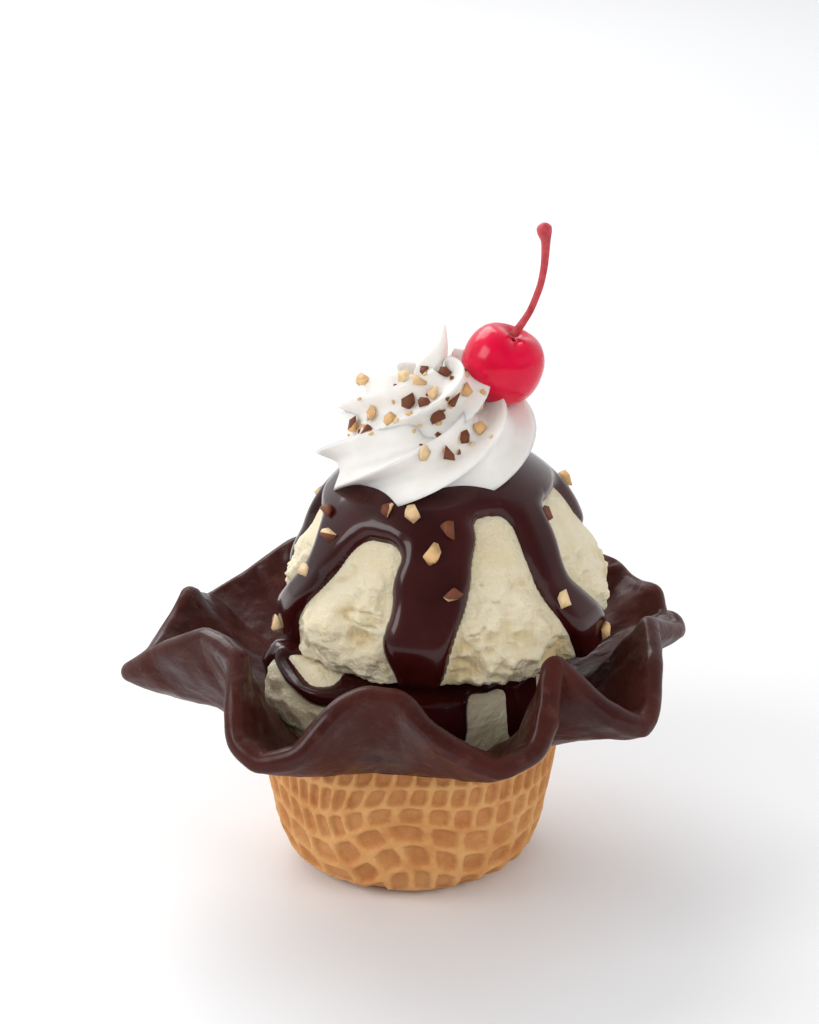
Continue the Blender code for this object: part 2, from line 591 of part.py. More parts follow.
def cherry_stem(mat):
    """A thin curved stem with a knob at its free end."""
    count = 8
    line = np.array(STEM, float)
    along = np.gradient(line, axis=0)
    rings = []
    for place, way, radius in zip(line, along, STEM_RADII):
        frame = turned_to(way)
        turn = np.arange(count) * 2 * math.pi / count
        rings.append(place + radius * (np.cos(turn)[:, None] * frame[0] + np.sin(turn)[:, None] * frame[1]))
    points = np.concatenate(rings + [[line[0], line[-1] + (0, 0, 0.5)]])
    total = len(rings)
    triangles = []
    for i in range(total - 1):
        triangles += strip(i * count, (i + 1) * count, count)
    for j in range(count):
        k = (j + 1) % count
        triangles.append((total * count, j, k))
        triangles.append((total * count + 1, (total - 1) * count + k, (total - 1) * count + j))
    return add_solid("cherry_stem", points, triangles, mat)


def build():
    for old in list(bpy.data.objects):
        bpy.data.objects.remove(old)
    rng = np.random.default_rng(SEED)
    wafer = material("wafer", (0.60, 0.27, 0.08), 0.75)
    dip = material("dip_chocolate", (0.075, 0.03, 0.026), 0.35)
    ice = material("ice_cream", (0.83, 0.77, 0.58), 0.6)
    ice_top = material("ice_cream_top", (0.83, 0.77, 0.58), 0.6)
    fudge = material("fudge", (0.03, 0.009, 0.008), 0.15)
    fudge_low = material("fudge_low", (0.03, 0.009, 0.008), 0.15)
    cream = material("cream", (0.86, 0.84, 0.80), 0.5)
    red = material("cherry_red", (0.62, 0.005, 0.02), 0.15)
    stalk = material("stem_red", (0.42, 0.03, 0.04), 0.5)
    nut = material("nut", (0.75, 0.5, 0.25), 0.6)

    waffle_bowl(wafer)
    chocolate_dip(dip)
    scoop_and_fudge(("lower_scoop", "fudge_pool"), LOWER_CENTRE, lower_radius,
                    np.array([18, 34, 46, 54, 61, 68, 75, 82, 90, 102, 120, 148.0]), spread_azimuths(21, 14),
                    (POOL_EDGE, POOL_STREAMS, POOL_THICKNESS, 33.0, 90.0), (ice, fudge_low))
    _, coat, on_fudge = scoop_and_fudge(
        ("upper_scoop", "fudge_cap"), UPPER_CENTRE, upper_radius,
        np.array([12, 24, 34, 42, 49, 56, 63, 70, 77, 84, 91, 98, 104.5, 114, 145.0]), spread_azimuths(26, 17),
        (CAP_EDGE, CAP_STREAMS, CAP_THICKNESS, 35.0, 104.5), (ice_top, fudge))
    ways = [directions(a, t) for a, t in CAP_NUTS]
    places = [on_fudge(a, t) + NUT_LIFT * way for (a, t), way in zip(CAP_NUTS, ways)]
    combine(coat, nut_pieces(places, ways, nut, rng, "cap_nut"), "UNION", "MANIFOLD")

    swirl = whipped_cream(cream)
    combine(swirl, [cherry(red, CHERRY_RADIUS + 0.5, "cherry_room", 0.0)], "DIFFERENCE", "EXACT")
    azimuths, heights = np.array(CREAM_NUTS, float).T
    ways = [np.array([math.cos(math.radians(a)), math.sin(math.radians(a)), 0.45]) for a in azimuths]
    places = [cream_point(np.array(a), np.array(h), 0.1) for a, h in zip(azimuths, heights)]
    combine(swirl, nut_pieces(places, ways, nut, rng, "cream_nut"), "UNION", "MANIFOLD")
    cherry(red, CHERRY_RADIUS)
    cherry_stem(stalk)


build()
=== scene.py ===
# %% [markdown]
# # Ice cream sundae in a dipped waffle bowl
# We dress a plain solid model until it looks like food: a baked wafer cup, a ruffled rim
# dipped in chocolate, two scoops of vanilla, hot fudge, piped cream, chopped nuts and a
# cherry. The solid model already fixes every size and place, so this file only makes finer
# surfaces over the same tables of numbers. Tables are in millimetres, Blender is in metres.

# %% Load the solid model
import itertools
import math

import bpy
import numpy as np
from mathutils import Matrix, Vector


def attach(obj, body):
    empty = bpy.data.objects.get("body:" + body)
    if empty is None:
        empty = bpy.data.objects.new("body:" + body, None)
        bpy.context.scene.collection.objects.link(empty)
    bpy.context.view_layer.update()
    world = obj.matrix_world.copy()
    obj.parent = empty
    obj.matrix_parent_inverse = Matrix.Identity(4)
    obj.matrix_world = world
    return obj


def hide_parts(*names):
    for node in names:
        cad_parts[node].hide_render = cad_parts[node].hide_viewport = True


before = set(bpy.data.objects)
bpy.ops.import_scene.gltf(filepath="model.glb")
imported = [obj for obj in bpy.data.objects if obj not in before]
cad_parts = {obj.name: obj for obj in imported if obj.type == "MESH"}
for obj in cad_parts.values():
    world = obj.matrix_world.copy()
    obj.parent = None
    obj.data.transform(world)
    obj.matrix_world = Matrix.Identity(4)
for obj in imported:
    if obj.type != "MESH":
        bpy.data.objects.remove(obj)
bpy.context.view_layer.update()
MM = 0.001
print("nodes:", sorted(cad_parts))

# %% [markdown]
# ## From a grid of points to a mesh
# Every piece here is a sheet of points: rows one way, columns the other. Joining the columns
# end to end makes a tube, joining the rows too makes a ring, and a single point at each end
# closes a ball. One helper does all of these, so each piece only has to say where its points
# are, and numpy can work them out all at once.


# %% Surface helper
def wrap_quads(rows, columns, ring):
    """Corner numbers of every cell of a grid whose columns close up; rows close up too if ring."""
    i = np.arange(rows if ring else rows - 1)[:, None]
    j = np.arange(columns)[None, :]
    i2, j2 = (i + 1) % rows, (j + 1) % columns
    corners = i * columns + j, i * columns + j2, i2 * columns + j2, i2 * columns + j
    return np.stack(np.broadcast_arrays(*corners), -1).reshape(-1, 4)


def make_mesh(name, points, quads, triangles=(), smooth=True):
    """Mesh object from arrays: points in millimetres, then quads, then triangles, faces outward."""
    points = np.asarray(points, float) * MM
    triangles = np.asarray(triangles, int).reshape(-1, 3)
    mesh = bpy.data.meshes.new(name)
    mesh.vertices.add(len(points))
    mesh.vertices.foreach_set("co", points.ravel())
    corners = np.concatenate([np.asarray(quads, int).ravel(), triangles.ravel()])
    sizes = np.concatenate([np.full(len(quads), 4), np.full(len(triangles), 3)])
    mesh.loops.add(len(corners))
    mesh.loops.foreach_set("vertex_index", corners)
    mesh.polygons.add(len(sizes))
    mesh.polygons.foreach_set("loop_start", np.concatenate([[0], np.cumsum(sizes)[:-1]]))
    mesh.update(calc_edges=True)
    mesh.validate()
    if signed_volume(mesh) < 0:
        mesh.flip_normals()
    if smooth:
        mesh.shade_smooth()
    piece = bpy.data.objects.new(name, mesh)
    bpy.context.scene.collection.objects.link(piece)
    print(name, len(points), "points,", len(sizes), "faces")
    return piece


def signed_volume(mesh):
    """Sum of the tetrahedra from the origin to each triangle: negative if the faces point inward."""
    mesh.calc_loop_triangles()
    points = np.empty(len(mesh.vertices) * 3)
    mesh.vertices.foreach_get("co", points)
    faces = np.empty(len(mesh.loop_triangles) * 3, int)
    mesh.loop_triangles.foreach_get("vertices", faces)
    a, b, c = points.reshape(-1, 3)[faces.reshape(-1, 3)].transpose(1, 0, 2)
    return float((a * np.cross(b, c)).sum() / 6)


def closed_sheet(name, grid, poles=None):
    """A grid whose columns close up, ended by a pole point at each end, or by joining its rows."""
    rows, columns = grid.shape[:2]
    quads = wrap_quads(rows, columns, poles is None)
    points = grid.reshape(-1, 3)
    triangles = []
    if poles is not None:
        j = np.arange(columns)
        j2 = (j + 1) % columns
        first, last = rows * columns, rows * columns + 1
        points = np.concatenate([points, poles])
        triangles = np.concatenate([np.stack([0 * j + first, j2, j], -1),
                                    np.stack([0 * j + last, (rows - 1) * columns + j,
                                              (rows - 1) * columns + j2], -1)])
    return make_mesh(name, points, quads, triangles)


# %% [markdown]
# ## Roughness that looks grown, not drawn
# Ice cream crags, wavy chocolate and crumbly wafer all need an uneven surface. Value noise
# does it: random numbers sit on a lattice in space and are blended smoothly between. Several
# sizes of it added together look natural, and a fixed seed gives the same sundae each time.
# Each call below gives the size of its largest bumps in millimetres, then a seed of its own.


# %% Noise in space
LATTICE_NUMBERS = 4096
LATTICE_PRIMES = (73856093, 19349663, 83492791)


def value_noise(points, size, seed):
    """Smooth random value from -1 to 1 at each point: lattice numbers, size mm apart, blended."""
    table = np.random.default_rng(seed).uniform(-1, 1, LATTICE_NUMBERS)
    scaled = points / size
    cell = np.floor(scaled).astype(np.int64)
    part = scaled - cell
    part = part * part * (3 - 2 * part)
    total = np.zeros(points.shape[:-1])
    for corner in itertools.product((0, 1), repeat=3):
        a, b, c = (cell + corner).reshape(-1, 3).T * np.array(LATTICE_PRIMES)[:, None]
        weight = np.abs(1 - np.array(corner) - part).prod(-1)
        total += table[((a ^ b ^ c) % LATTICE_NUMBERS).reshape(total.shape)] * weight
    return total


def layered_noise(points, size, seed, layers=3):
    """Noise of halving size and halving strength, added up."""
    return sum(value_noise(points + 17.3 * k, size / 2 ** k, seed + k) / 2 ** k for k in range(layers))


def ridged_noise(points, size, seed, layers=3):
    """Sharp crests: one minus the size of the noise, squared, in layers; from 0 to about 1."""
    parts = [(1 - np.abs(value_noise(points - 9.1 * k, size / 2 ** k, seed + k))) ** 2 / 2 ** k
             for k in range(layers)]
    return sum(parts) / 1.75


def smooth_step(low, high, value):
    """0 below low, 1 above high, and an S-shaped blend between."""
    share = np.clip((value - low) / (high - low), 0, 1)
    return share * share * (3 - 2 * share)


def directions(azimuth, angle):
    """Unit vectors at an azimuth round +Z and an angle down from +Z, both in degrees."""
    a, t = np.radians(azimuth), np.radians(angle)
    return np.stack([np.sin(t) * np.cos(a), np.sin(t) * np.sin(a), np.cos(t)], -1)


def polar(azimuth, radius, height):
    """Points at an azimuth in degrees, a distance from the upright axis, and a height."""
    azimuth, radius, height = np.broadcast_arrays(np.radians(azimuth), radius, height)
    return np.stack([radius * np.cos(azimuth), radius * np.sin(azimuth), height], -1)


# %% [markdown]
# ## Shader maths as plain expressions
# A material's pattern is arithmetic on positions. Wiring each Math node by hand hides the
# idea, so a small class wraps a socket and lets Python's own signs add the nodes: writing
# `1 - mask * 0.5` builds them. Anything else, such as a noise texture, comes from one method.


# %% Socket arithmetic
class Val:
    """A shader value: a socket that plain arithmetic can be done on."""

    def __init__(self, tree, socket):
        self.tree, self.socket = tree, socket

    def math(self, operation, *values):
        """One Math node on values and sockets."""
        node = self.tree.nodes.new("ShaderNodeMath")
        node.operation = operation
        for slot, value in zip(node.inputs, values):
            if isinstance(value, Val):
                self.tree.links.new(value.socket, slot)
            else:
                slot.default_value = value
        return Val(self.tree, node.outputs[0])

    def __add__(self, other):
        return self.math("ADD", self, other)

    def __radd__(self, other):
        return self.math("ADD", other, self)

    def __sub__(self, other):
        return self.math("SUBTRACT", self, other)

    def __rsub__(self, other):
        return self.math("SUBTRACT", other, self)

    def __mul__(self, other):
        return self.math("MULTIPLY", self, other)

    def __rmul__(self, other):
        return self.math("MULTIPLY", other, self)

    def clamp(self):
        """Kept between 0 and 1."""
        return self.math("MINIMUM", self.math("MAXIMUM", self, 0.0), 1.0)

    def ramp(self, low, high):
        """0 below low, 1 above high, straight between."""
        return ((self - low) * (1.0 / (high - low))).clamp()


class Finish:
    """One material: its shader, and the means to add patterns to it."""

    def __init__(self, name, **constants):
        self.material = bpy.data.materials.new(name)
        self.material.use_nodes = True
        self.tree = self.material.node_tree
        self.shader = self.tree.nodes["Principled BSDF"]
        for socket, value in constants.items():
            self.shader.inputs[socket.replace("_", " ")].default_value = value
        self.place = self.node("ShaderNodeTexCoord", {}, {}, "Object")

    def node(self, kind, settings, inputs, output):
        """Any node: its type, its settings, its sockets' values or links, and the output wanted."""
        node = self.tree.nodes.new(kind)
        for key, value in settings.items():
            setattr(node, key, value)
        for key, value in inputs.items():
            if isinstance(value, Val):
                self.tree.links.new(value.socket, node.inputs[key])
            else:
                node.inputs[key].default_value = value
        return Val(self.tree, node.outputs[output])

    def noise(self, scale, detail, rough):
        """Cloudy pattern from 0 to 1: blobs per metre, layers of finer blobs, and their strength."""
        return self.node("ShaderNodeTexNoise", {}, {"Vector": self.place, "Scale": scale,
                                                   "Detail": detail, "Roughness": rough}, "Fac")

    def cells(self, scale):
        """Distance from the middle of the nearest cell, cells per metre."""
        return self.node("ShaderNodeTexVoronoi", {}, {"Vector": self.place, "Scale": scale}, "Distance")

    def attribute(self, name):
        """The numbers that mark() stored on the piece."""
        return self.node("ShaderNodeAttribute", {"attribute_name": name}, {}, "Fac")

    def mix(self, share, first, second):
        """Blend of two colours, each a tuple of three or a socket."""
        colours = [value if isinstance(value, Val) else (*value, 1.0) for value in (first, second)]
        return self.node("ShaderNodeMix", {"data_type": "RGBA"},
                         {0: share, 6: colours[0], 7: colours[1]}, 2)

    def set(self, socket, value):
        """Feed one of the shader's sockets with a pattern."""
        self.tree.links.new(value.socket, self.shader.inputs[socket])

    def bump(self, height, strength, distance):
        """Fine relief: a pattern read as height, how strongly it shows, and its depth in metres."""
        normal = self.node("ShaderNodeBump", {}, {"Height": height, "Strength": strength,
                                                  "Distance": distance}, "Normal")
        self.set("Normal", normal)

    def wear(self, piece, node):
        """Put the finish on a piece, which rides with the sundae and stands for a solid."""
        piece.data.materials.clear()
        piece.data.materials.append(self.material)
        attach(piece, "root")
        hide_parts(node)


# %% [markdown]
# ## The bowl's wall
# The bowl starts as a round wafer, pressed over a small cup while hot, so its skirt falls
# into ruffles. We keep the rim as a short table of peaks and valleys read round the bowl.
# Between cup and rim the wall is a curve with one bend that starts out low and wide, so valleys
# lie almost flat and peaks stand up, as they do in a pressed sheet.

# %% Rim and cup tables
CUP_OUTSIDE = np.array(((0.0, 21.8), (0.4, 23.4), (0.9, 24.6), (2.6, 27.9), (4.4, 29.6), (10.7, 31.9),
                        (22.4, 34.0), (38.0, 36.4)))
CUP_HEIGHT, CUP_WALL, CUP_FLOOR, FLARE_HALF_WALL = 38.0, 2.6, 3.0, 0.85
# Rim: azimuth, radius, height of the wall's top edge.
RIM = np.array(((-175.7, 66.2, 47.4), (-165, 58, 57.8), (-154.5, 51, 64.6), (-146, 50.2, 65),
                (-138.6, 50.6, 63.8), (-132.2, 57, 57), (-129.5, 60.2, 50.4), (-122.4, 60.8, 47.2),
                (-113.8, 58.4, 50.4),
                (-110.3, 55.2, 56.4), (-106.8, 52, 60.2), (-101.5, 48.6, 62), (-92, 49.2, 61.9),
                (-87.5, 50.8, 56.8), (-82.8, 52.4, 53.2), (-70, 57, 46.4), (-60.2, 55.8, 48.8),
                (-55.5, 53.9, 56.2), (-52.5, 50.2, 64.2), (-49, 49.6, 65.4), (-45.2, 51.6, 60.2),
                (-41, 56.2, 53.8), (-36.5, 60.2, 49.8), (-32.3, 61.8, 47.2), (-27, 61, 49.2),
                (-19.3, 58.6, 55.5), (-5.2, 55.3, 60), (4, 60, 54.5), (10.4, 65.2, 50.6), (14.2, 65.2, 52.4),
                (18, 63.4, 50), (22.7, 64.8, 55.4), (28, 63.8, 53.8), (33, 63.2, 54.2), (36.5, 63.2, 56.4),
                (44, 61, 57.2), (66, 63, 50), (84, 53.5, 61), (103, 63, 50), (120, 56.5, 58.2), (131, 61, 50),
                (142, 63, 46.4), (152, 60.2, 51.6), (158, 57.2, 56.6), (163, 58.2, 52), (170, 59.4, 49.4),
                (177, 60.4, 48.4)))
# The wall's bend: how far up and how far out it lies between the cup's edge and the rim.
BEND_UP, BEND_OUT = 0.2, 0.45
# The table is read every RIM_STEP degrees and blurred over a few readings, so its corners go.
RIM_STEP, BLUR_SPREAD, BLUR_REACH = 0.25, 5.5, 24
# Length added to every step along the rim, so that flat stretches keep enough columns.
SPARE_LENGTH = 0.125
LEVEL_END = 0.2


def even_azimuths(columns):
    """Azimuths of equally spaced columns, in degrees from -180."""
    return -180.0 + 360.0 * np.arange(columns) / columns


def rim_line(count):
    """Azimuth, radius and height of points spread along the rim's own length, slightly rounded."""
    fine = np.arange(-180.0, 180.0, RIM_STEP)
    curves = [np.interp(fine, RIM[:, 0], RIM[:, k], period=360) for k in (1, 2)]
    kernel = np.exp(-0.5 * (np.arange(-BLUR_REACH, BLUR_REACH + 1) / BLUR_SPREAD) ** 2)
    kernel /= kernel.sum()
    curves = [np.convolve(np.concatenate([c[-BLUR_REACH:], c, c[:BLUR_REACH]]), kernel, "valid")
              for c in curves]
    edge = polar(fine, *curves)
    step = np.linalg.norm(np.roll(edge, -1, 0) - edge, axis=1) + SPARE_LENGTH
    travel = np.concatenate([[0], np.cumsum(step)])
    place = np.interp(np.arange(count) / count * travel[-1], travel, np.append(fine, 180.0))
    return (place, *(np.interp(place, fine, c, period=360) for c in curves))


def flare_rows(columns, steps):
    """Wall above the cup: a curve with one bend from the cup's edge to the rim, for each column."""
    even = even_azimuths(columns)
    rim_azimuth, rim_radius, rim_height = rim_line(columns)
    start = CUP_OUTSIDE[-1, 1] - CUP_WALL / 2
    bend_radius = start + BEND_OUT * (rim_radius - start)
    bend_height = CUP_HEIGHT + BEND_UP * (rim_height - CUP_HEIGHT)
    s = np.asarray(steps)[:, None]
    radius = (1 - s) ** 2 * start + 2 * s * (1 - s) * bend_radius + s * s * rim_radius
    height = (1 - s) ** 2 * CUP_HEIGHT + 2 * s * (1 - s) * bend_height + s * s * rim_height
    return polar(even + s * (rim_azimuth - even), radius, height)


def side_vectors(rows, steps):
    """Unit normals of the flare, away from the bowl's middle: level at the cup, the surface's own
    from LEVEL_END of the way up, and a smooth blend between."""
    along = np.gradient(rows, axis=0)
    around = np.roll(rows, -1, 1) - np.roll(rows, 1, 1)
    side = np.cross(around, along)
    side /= np.linalg.norm(side, axis=2, keepdims=True)
    level = rows[:1] * (1, 1, 0)
    level = level / np.linalg.norm(level, axis=2, keepdims=True)
    share = smooth_step(0.0, LEVEL_END, np.asarray(steps))[:, None, None]
    side = level * (1 - share) + side * share
    return side / np.linalg.norm(side, axis=2, keepdims=True)


# %% [markdown]
# ## The wafer cup
# The mould presses rows of pockets into the wafer. Near the seam the grid turns, so those
# pockets look like diamonds, and elsewhere they stand upright. We give every point a column
# and row number, turn the numbers near the seam, and sink the surface wherever a point lies
# inside a pocket. The pockets of the upper rows are half as wide. Real depth catches light at its
# edge, which a bump alone can't do.

# %% Wafer pockets
POCKET_COLUMNS, POCKET_PITCH, POCKET_DEEP = 27, 6.5, 1.2
POCKET_RADIUS, WANDER_RADIUS = 33.5, 33.0
# The seam: where it is, how far the grid turns there, and how wide and tall the turned part is.
SEAM_AZIMUTH, SEAM_HEIGHT = -108.0, 13.0
SEAM_TURN, SEAM_WIDE, SEAM_TALL, SEAM_CORE = math.radians(42), 15, 13, 2
# A pocket's floor ends at the first share of a cell, and the rib is level from the second.
FLOOR_END, RIB_START = 0.31, 0.49


def pocket_depth(azimuth, height):
    """Depth from 0 to 1: flat inside each cell, 0 on the ribs between; cells turn near the seam."""
    pitch = 2 * math.pi * POCKET_RADIUS / POCKET_COLUMNS
    x = (azimuth - SEAM_AZIMUTH + 180) % 360 - 180
    x = x / 360 * POCKET_COLUMNS * pitch
    y = height - SEAM_HEIGHT
    place = polar(azimuth, WANDER_RADIUS, height)
    x = x + 0.9 * value_noise(place, 17.0, 5)
    y = y + 0.8 * value_noise(place, 15.0, 6)
    turn = SEAM_TURN * np.exp(-(x / SEAM_WIDE) ** 2 - (np.maximum(np.abs(y) - SEAM_CORE, 0) / SEAM_TALL) ** 2)
    turned_x = x * np.cos(turn) + y * np.sin(turn)
    turned_y = -x * np.sin(turn) + y * np.cos(turn)
    row = turned_y / POCKET_PITCH + 0.1
    slots = np.where(np.floor(row) >= 2, 2.0, np.where(np.floor(row) >= 1, 1.5, 1.0))
    cell_x = np.abs((turned_x * slots / pitch) % 1 - 0.5)
    cell_y = np.abs(row % 1 - 0.5)
    reach = np.maximum(cell_x * (1.0 + 0.04 * slots), cell_y) + 0.22 * np.minimum(cell_x, cell_y)
    return 1 - smooth_step(FLOOR_END, RIB_START, reach)


def wafer_cup():
    """Closed skin: foot, pocketed outside, hidden flare under the chocolate, plain inside."""
    columns, rows = ((660, 112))
    heights = np.concatenate([[0.0, 0.25, 0.6, 1.1, 1.8], np.linspace(2.6, CUP_HEIGHT, rows)])
    around = even_azimuths(columns)[None, :]
    radius = np.interp(heights, CUP_OUTSIDE[:, 0], CUP_OUTSIDE[:, 1])
    kernel = np.array([1, 4, 6, 4, 1]) / 16
    radius[2:-2] = np.convolve(radius, kernel, "valid")
    depth = pocket_depth(around, heights[:, None]) * smooth_step(0.0, 1.4, heights)[:, None]
    place = polar(around, radius[:, None], heights[:, None])
    rough = 0.10 * layered_noise(place, 3.2, 11)
    rough *= smooth_step(0.0, 0.8, heights)[:, None]
    outer = polar(around, radius[:, None] - POCKET_DEEP * depth + rough, heights[:, None])
    steps = (0.2, 0.45, 0.7, 0.9, 1.0)
    flare = flare_rows(columns, steps)
    side = FLARE_HALF_WALL * side_vectors(flare, steps)
    inner_heights = np.array([34, 24, 14, 6.5])
    inner_radii = np.interp(inner_heights, CUP_OUTSIDE[:, 0], CUP_OUTSIDE[:, 1]) - CUP_WALL
    inner = polar(around, inner_radii[:, None], inner_heights[:, None])
    foot = polar(around, np.array([[8.0], [16.0], [21.0]]), 0.0)
    floor = polar(around, np.array([[23.5], [12.0]]), CUP_FLOOR)
    grid = np.concatenate([foot, outer, flare + side, (flare - side)[::-1], inner, floor])
    return closed_sheet("wafer_cup", grid, [(0, 0, 0), (0, 0, CUP_FLOOR)])


cup = wafer_cup()

# %% [markdown]
# ## Baked wafer
# Wafer browns unevenly in the hot iron. The ribs are pale gold, and the pocket floors are darker
# and redder, the more so the deeper the pocket. We read the depth back from the shape by marking it
# on the mesh, then add small bubbles, a sandy grain and paler flour-dusted patches.

# %% Wafer finish
WAFER_GOLD, WAFER_PALE, WAFER_BROWN = (0.64, 0.298, 0.094), (0.70, 0.38, 0.148), (0.44, 0.165, 0.054)
HIDDEN_DEPTH = 0.4


def mark(piece, name, values, domain="POINT"):
    """Store one number for each point or face of a piece, for its material to read."""
    layer = piece.data.attributes.new(name, "FLOAT", domain)
    layer.data.foreach_set("value", np.asarray(values, np.float32))


def points_of(piece):
    """All the points of a piece, in millimetres."""
    flat = np.empty(len(piece.data.vertices) * 3)
    piece.data.vertices.foreach_get("co", flat)
    return flat.reshape(-1, 3) / MM


spots = points_of(cup)
turned = np.degrees(np.arctan2(spots[:, 1], spots[:, 0]))
inside_line = np.interp(spots[:, 2], CUP_OUTSIDE[:, 0], CUP_OUTSIDE[:, 1]) - 2.0
outside = np.hypot(spots[:, 0], spots[:, 1]) > inside_line
mark(cup, "pressed", np.where(outside, pocket_depth(turned, spots[:, 2]), HIDDEN_DEPTH))

wafer = Finish("baked wafer", Subsurface_Weight=0.08, Subsurface_Radius=(0.004, 0.002, 0.001),
               Subsurface_Scale=0.3, Specular_IOR_Level=0.35)
pressed = wafer.attribute("pressed")
mottle = wafer.noise(130, 4, 0.6)
grain = wafer.noise(1500, 2, 0.6)
gold = wafer.mix(mottle.ramp(0.35, 0.68), WAFER_GOLD, WAFER_PALE)
# Share of dark brown: more on the pocket floors, following their depth, and in random mottled patches and
# grain.
browner = (pressed * 0.5 + mottle.ramp(0.55, 0.3) * 0.35 + (grain - 0.5) * 0.4).clamp()
wafer.set("Base Color", wafer.mix(browner, gold, WAFER_BROWN))
wafer.set("Roughness", 0.62 + 0.2 * grain)
wafer.bump(grain * 0.6 + wafer.noise(420, 3, 0.6) * 1.0 + wafer.cells(700) * 0.25, 0.55, 0.0005)
wafer.wear(cup, "waffle_bowl")

# %% [markdown]
# ## The chocolate dip
# The ruffled skirt is dipped, so chocolate coats both faces and gathers in a rounded bead on
# the edge. The coat is a closed profile carried round the bowl: up the outside, over the bead,
# down the inside, and back against the wafer. Set chocolate keeps soft waves from running, so
# the coat's thickness wanders a little. Crumbs of wafer stuck in it make the edge rough at the
# back right. Its lower edge hangs down in slow waves, where drops ran and set.

# %% Chocolate dip
COAT_NEAR, COAT_FAR = 1.25, 2.15
BEAD_EXTRA, BEAD_RISE, EDGE_SWELL = 0.3, 2.2, 0.35
CRUMB_AZIMUTH, CRUMB_SPREAD, CRUMB_HEIGHT = 40, 9, 2.2


def chocolate_coat():
    """Closed ring of chocolate: outside face, bead on the edge, inside face, hidden back."""
    columns = 1000
    count = 34
    steps = np.linspace(0, 1, count)
    rows = flare_rows(columns, steps)
    side = side_vectors(rows, steps)
    lift = rows[-1] - rows[-2]
    lift /= np.linalg.norm(lift, axis=1, keepdims=True)
    wave = 0.6 * layered_noise(rows, 11.0, 21) + 0.2 * layered_noise(rows, 3.5, 31, 2)
    azimuth = np.degrees(np.arctan2(rows[..., 1], rows[..., 0]))
    crumbs = np.exp(-((azimuth - CRUMB_AZIMUTH) / CRUMB_SPREAD) ** 2) * smooth_step(0.5, 0.8, steps)[:, None]
    crumbs = crumbs * CRUMB_HEIGHT * smooth_step(0.35, 0.7, value_noise(rows, 2.6, 41))
    swell = smooth_step(0.55, 1.0, steps)[:, None] * EDGE_SWELL
    even = np.radians(even_azimuths(columns))
    hang = 0.75 + 0.45 * np.sin(5 * even + 1.0) + 0.35 * np.sin(9 * even + 2.6) + 0.25 * np.sin(17 * even)
    low = rows[0].copy()
    low[:, 2] -= hang
    low[:, :2] *= (1 - 0.0037 * hang)[:, None]
    root = CUP_WALL / 2
    outside = rows + (COAT_FAR + wave + swell)[..., None] * side
    outside[0] = low + (root + 0.95) * side[0]
    tuck = low + (root + 0.06) * side[0] - (0, 0, 0.25)
    lip = low + (root + 0.6) * side[0] - (0, 0, 0.35)
    turn = np.radians(np.linspace(20, 160, 9))[:, None, None]
    reach = (COAT_FAR + BEAD_EXTRA + 0.6 * wave[-1] + 0.6 * crumbs[-1])[None, :, None]
    bead = rows[-1] + np.cos(turn) * reach * side[-1] + np.sin(turn) * BEAD_RISE * lift
    inner_wave = 0.6 * layered_noise(rows + 40, 10.0, 23) + 0.2 * layered_noise(rows, 3.5, 37, 2) + crumbs
    inside = (rows - (COAT_FAR + inner_wave + swell)[..., None] * side)[:0:-1]
    up = (1, count // 2, count - 1)
    back = [rows[k] - COAT_NEAR * side[k] for k in up] + [rows[k] + COAT_NEAR * side[k] for k in up[::-1]]
    grid = np.concatenate([[tuck, lip], outside, bead, inside, back])
    return closed_sheet("chocolate_coat", grid)


coat = chocolate_coat()

# %% [markdown]
# ## Set chocolate
# Chocolate that has set is satin, not wet. It shines where it ran smooth and goes dull in pale,
# cloudy patches where its fat came to the surface. One soft noise drives colour, roughness and
# shine together, so a paler patch is also a duller one, as on the real thing.

# %% Chocolate finish
CHOCOLATE_DARK, CHOCOLATE_MILK = (0.037, 0.0064, 0.0046), (0.074, 0.0185, 0.0135)
CHOCOLATE_DUSTY = (0.13, 0.052, 0.041)
chocolate = Finish("dipped chocolate", Specular_IOR_Level=0.1, Coat_Roughness=0.14)
bloom = chocolate.noise(70, 4, 0.6)
streak = chocolate.noise(300, 3, 0.6)
dark_milk = chocolate.mix(bloom.ramp(0.35, 0.7), CHOCOLATE_DARK, CHOCOLATE_MILK)
chocolate.set("Base Color", chocolate.mix(streak.ramp(0.55, 0.75) * 0.35, dark_milk, CHOCOLATE_DUSTY))
chocolate.set("Roughness", 0.34 + 0.22 * bloom)
chocolate.set("Coat Weight", bloom.ramp(0.6, 0.42) * 0.35)
chocolate.bump(streak * 0.7 + bloom * 1.6 + chocolate.cells(210) * 0.35, 0.5, 0.001)
chocolate.wear(coat, "chocolate_dip")

# %% [markdown]
# ## Where the fudge runs
# Hot fudge covers the top of a scoop like a cap and runs down in streams. We describe it by
# one number, how far inside the fudge a place is: a cap whose edge dips and rises, joined to
# chains of round spots for the streams. The same number gives the fudge its thickness, with a
# rounded edge, and tells the ice cream where to stay smooth below it.

# %% Scoop and fudge tables
LOWER_CENTRE = np.array((0.0, 0.0, 36.0))
LOWER_SIDE = np.array(((0, -32.1), (20, -32.1), (25.4, -29.6), (28.2, -25), (30.2, -14), (31.5, 2), (31.7, 9),
                       (30.6, 15), (26.5, 18.2), (0, 18.2)), float)
UPPER_CENTRE = np.array((8.3, 2.0, 67.3))
DOME_RADIUS, SKIRT_RADIUS, SKIRT_FOOT = 34.0, 37.0, 9.8
# Millimetres over which a stream melts into the cap.
BLEND = 2.6
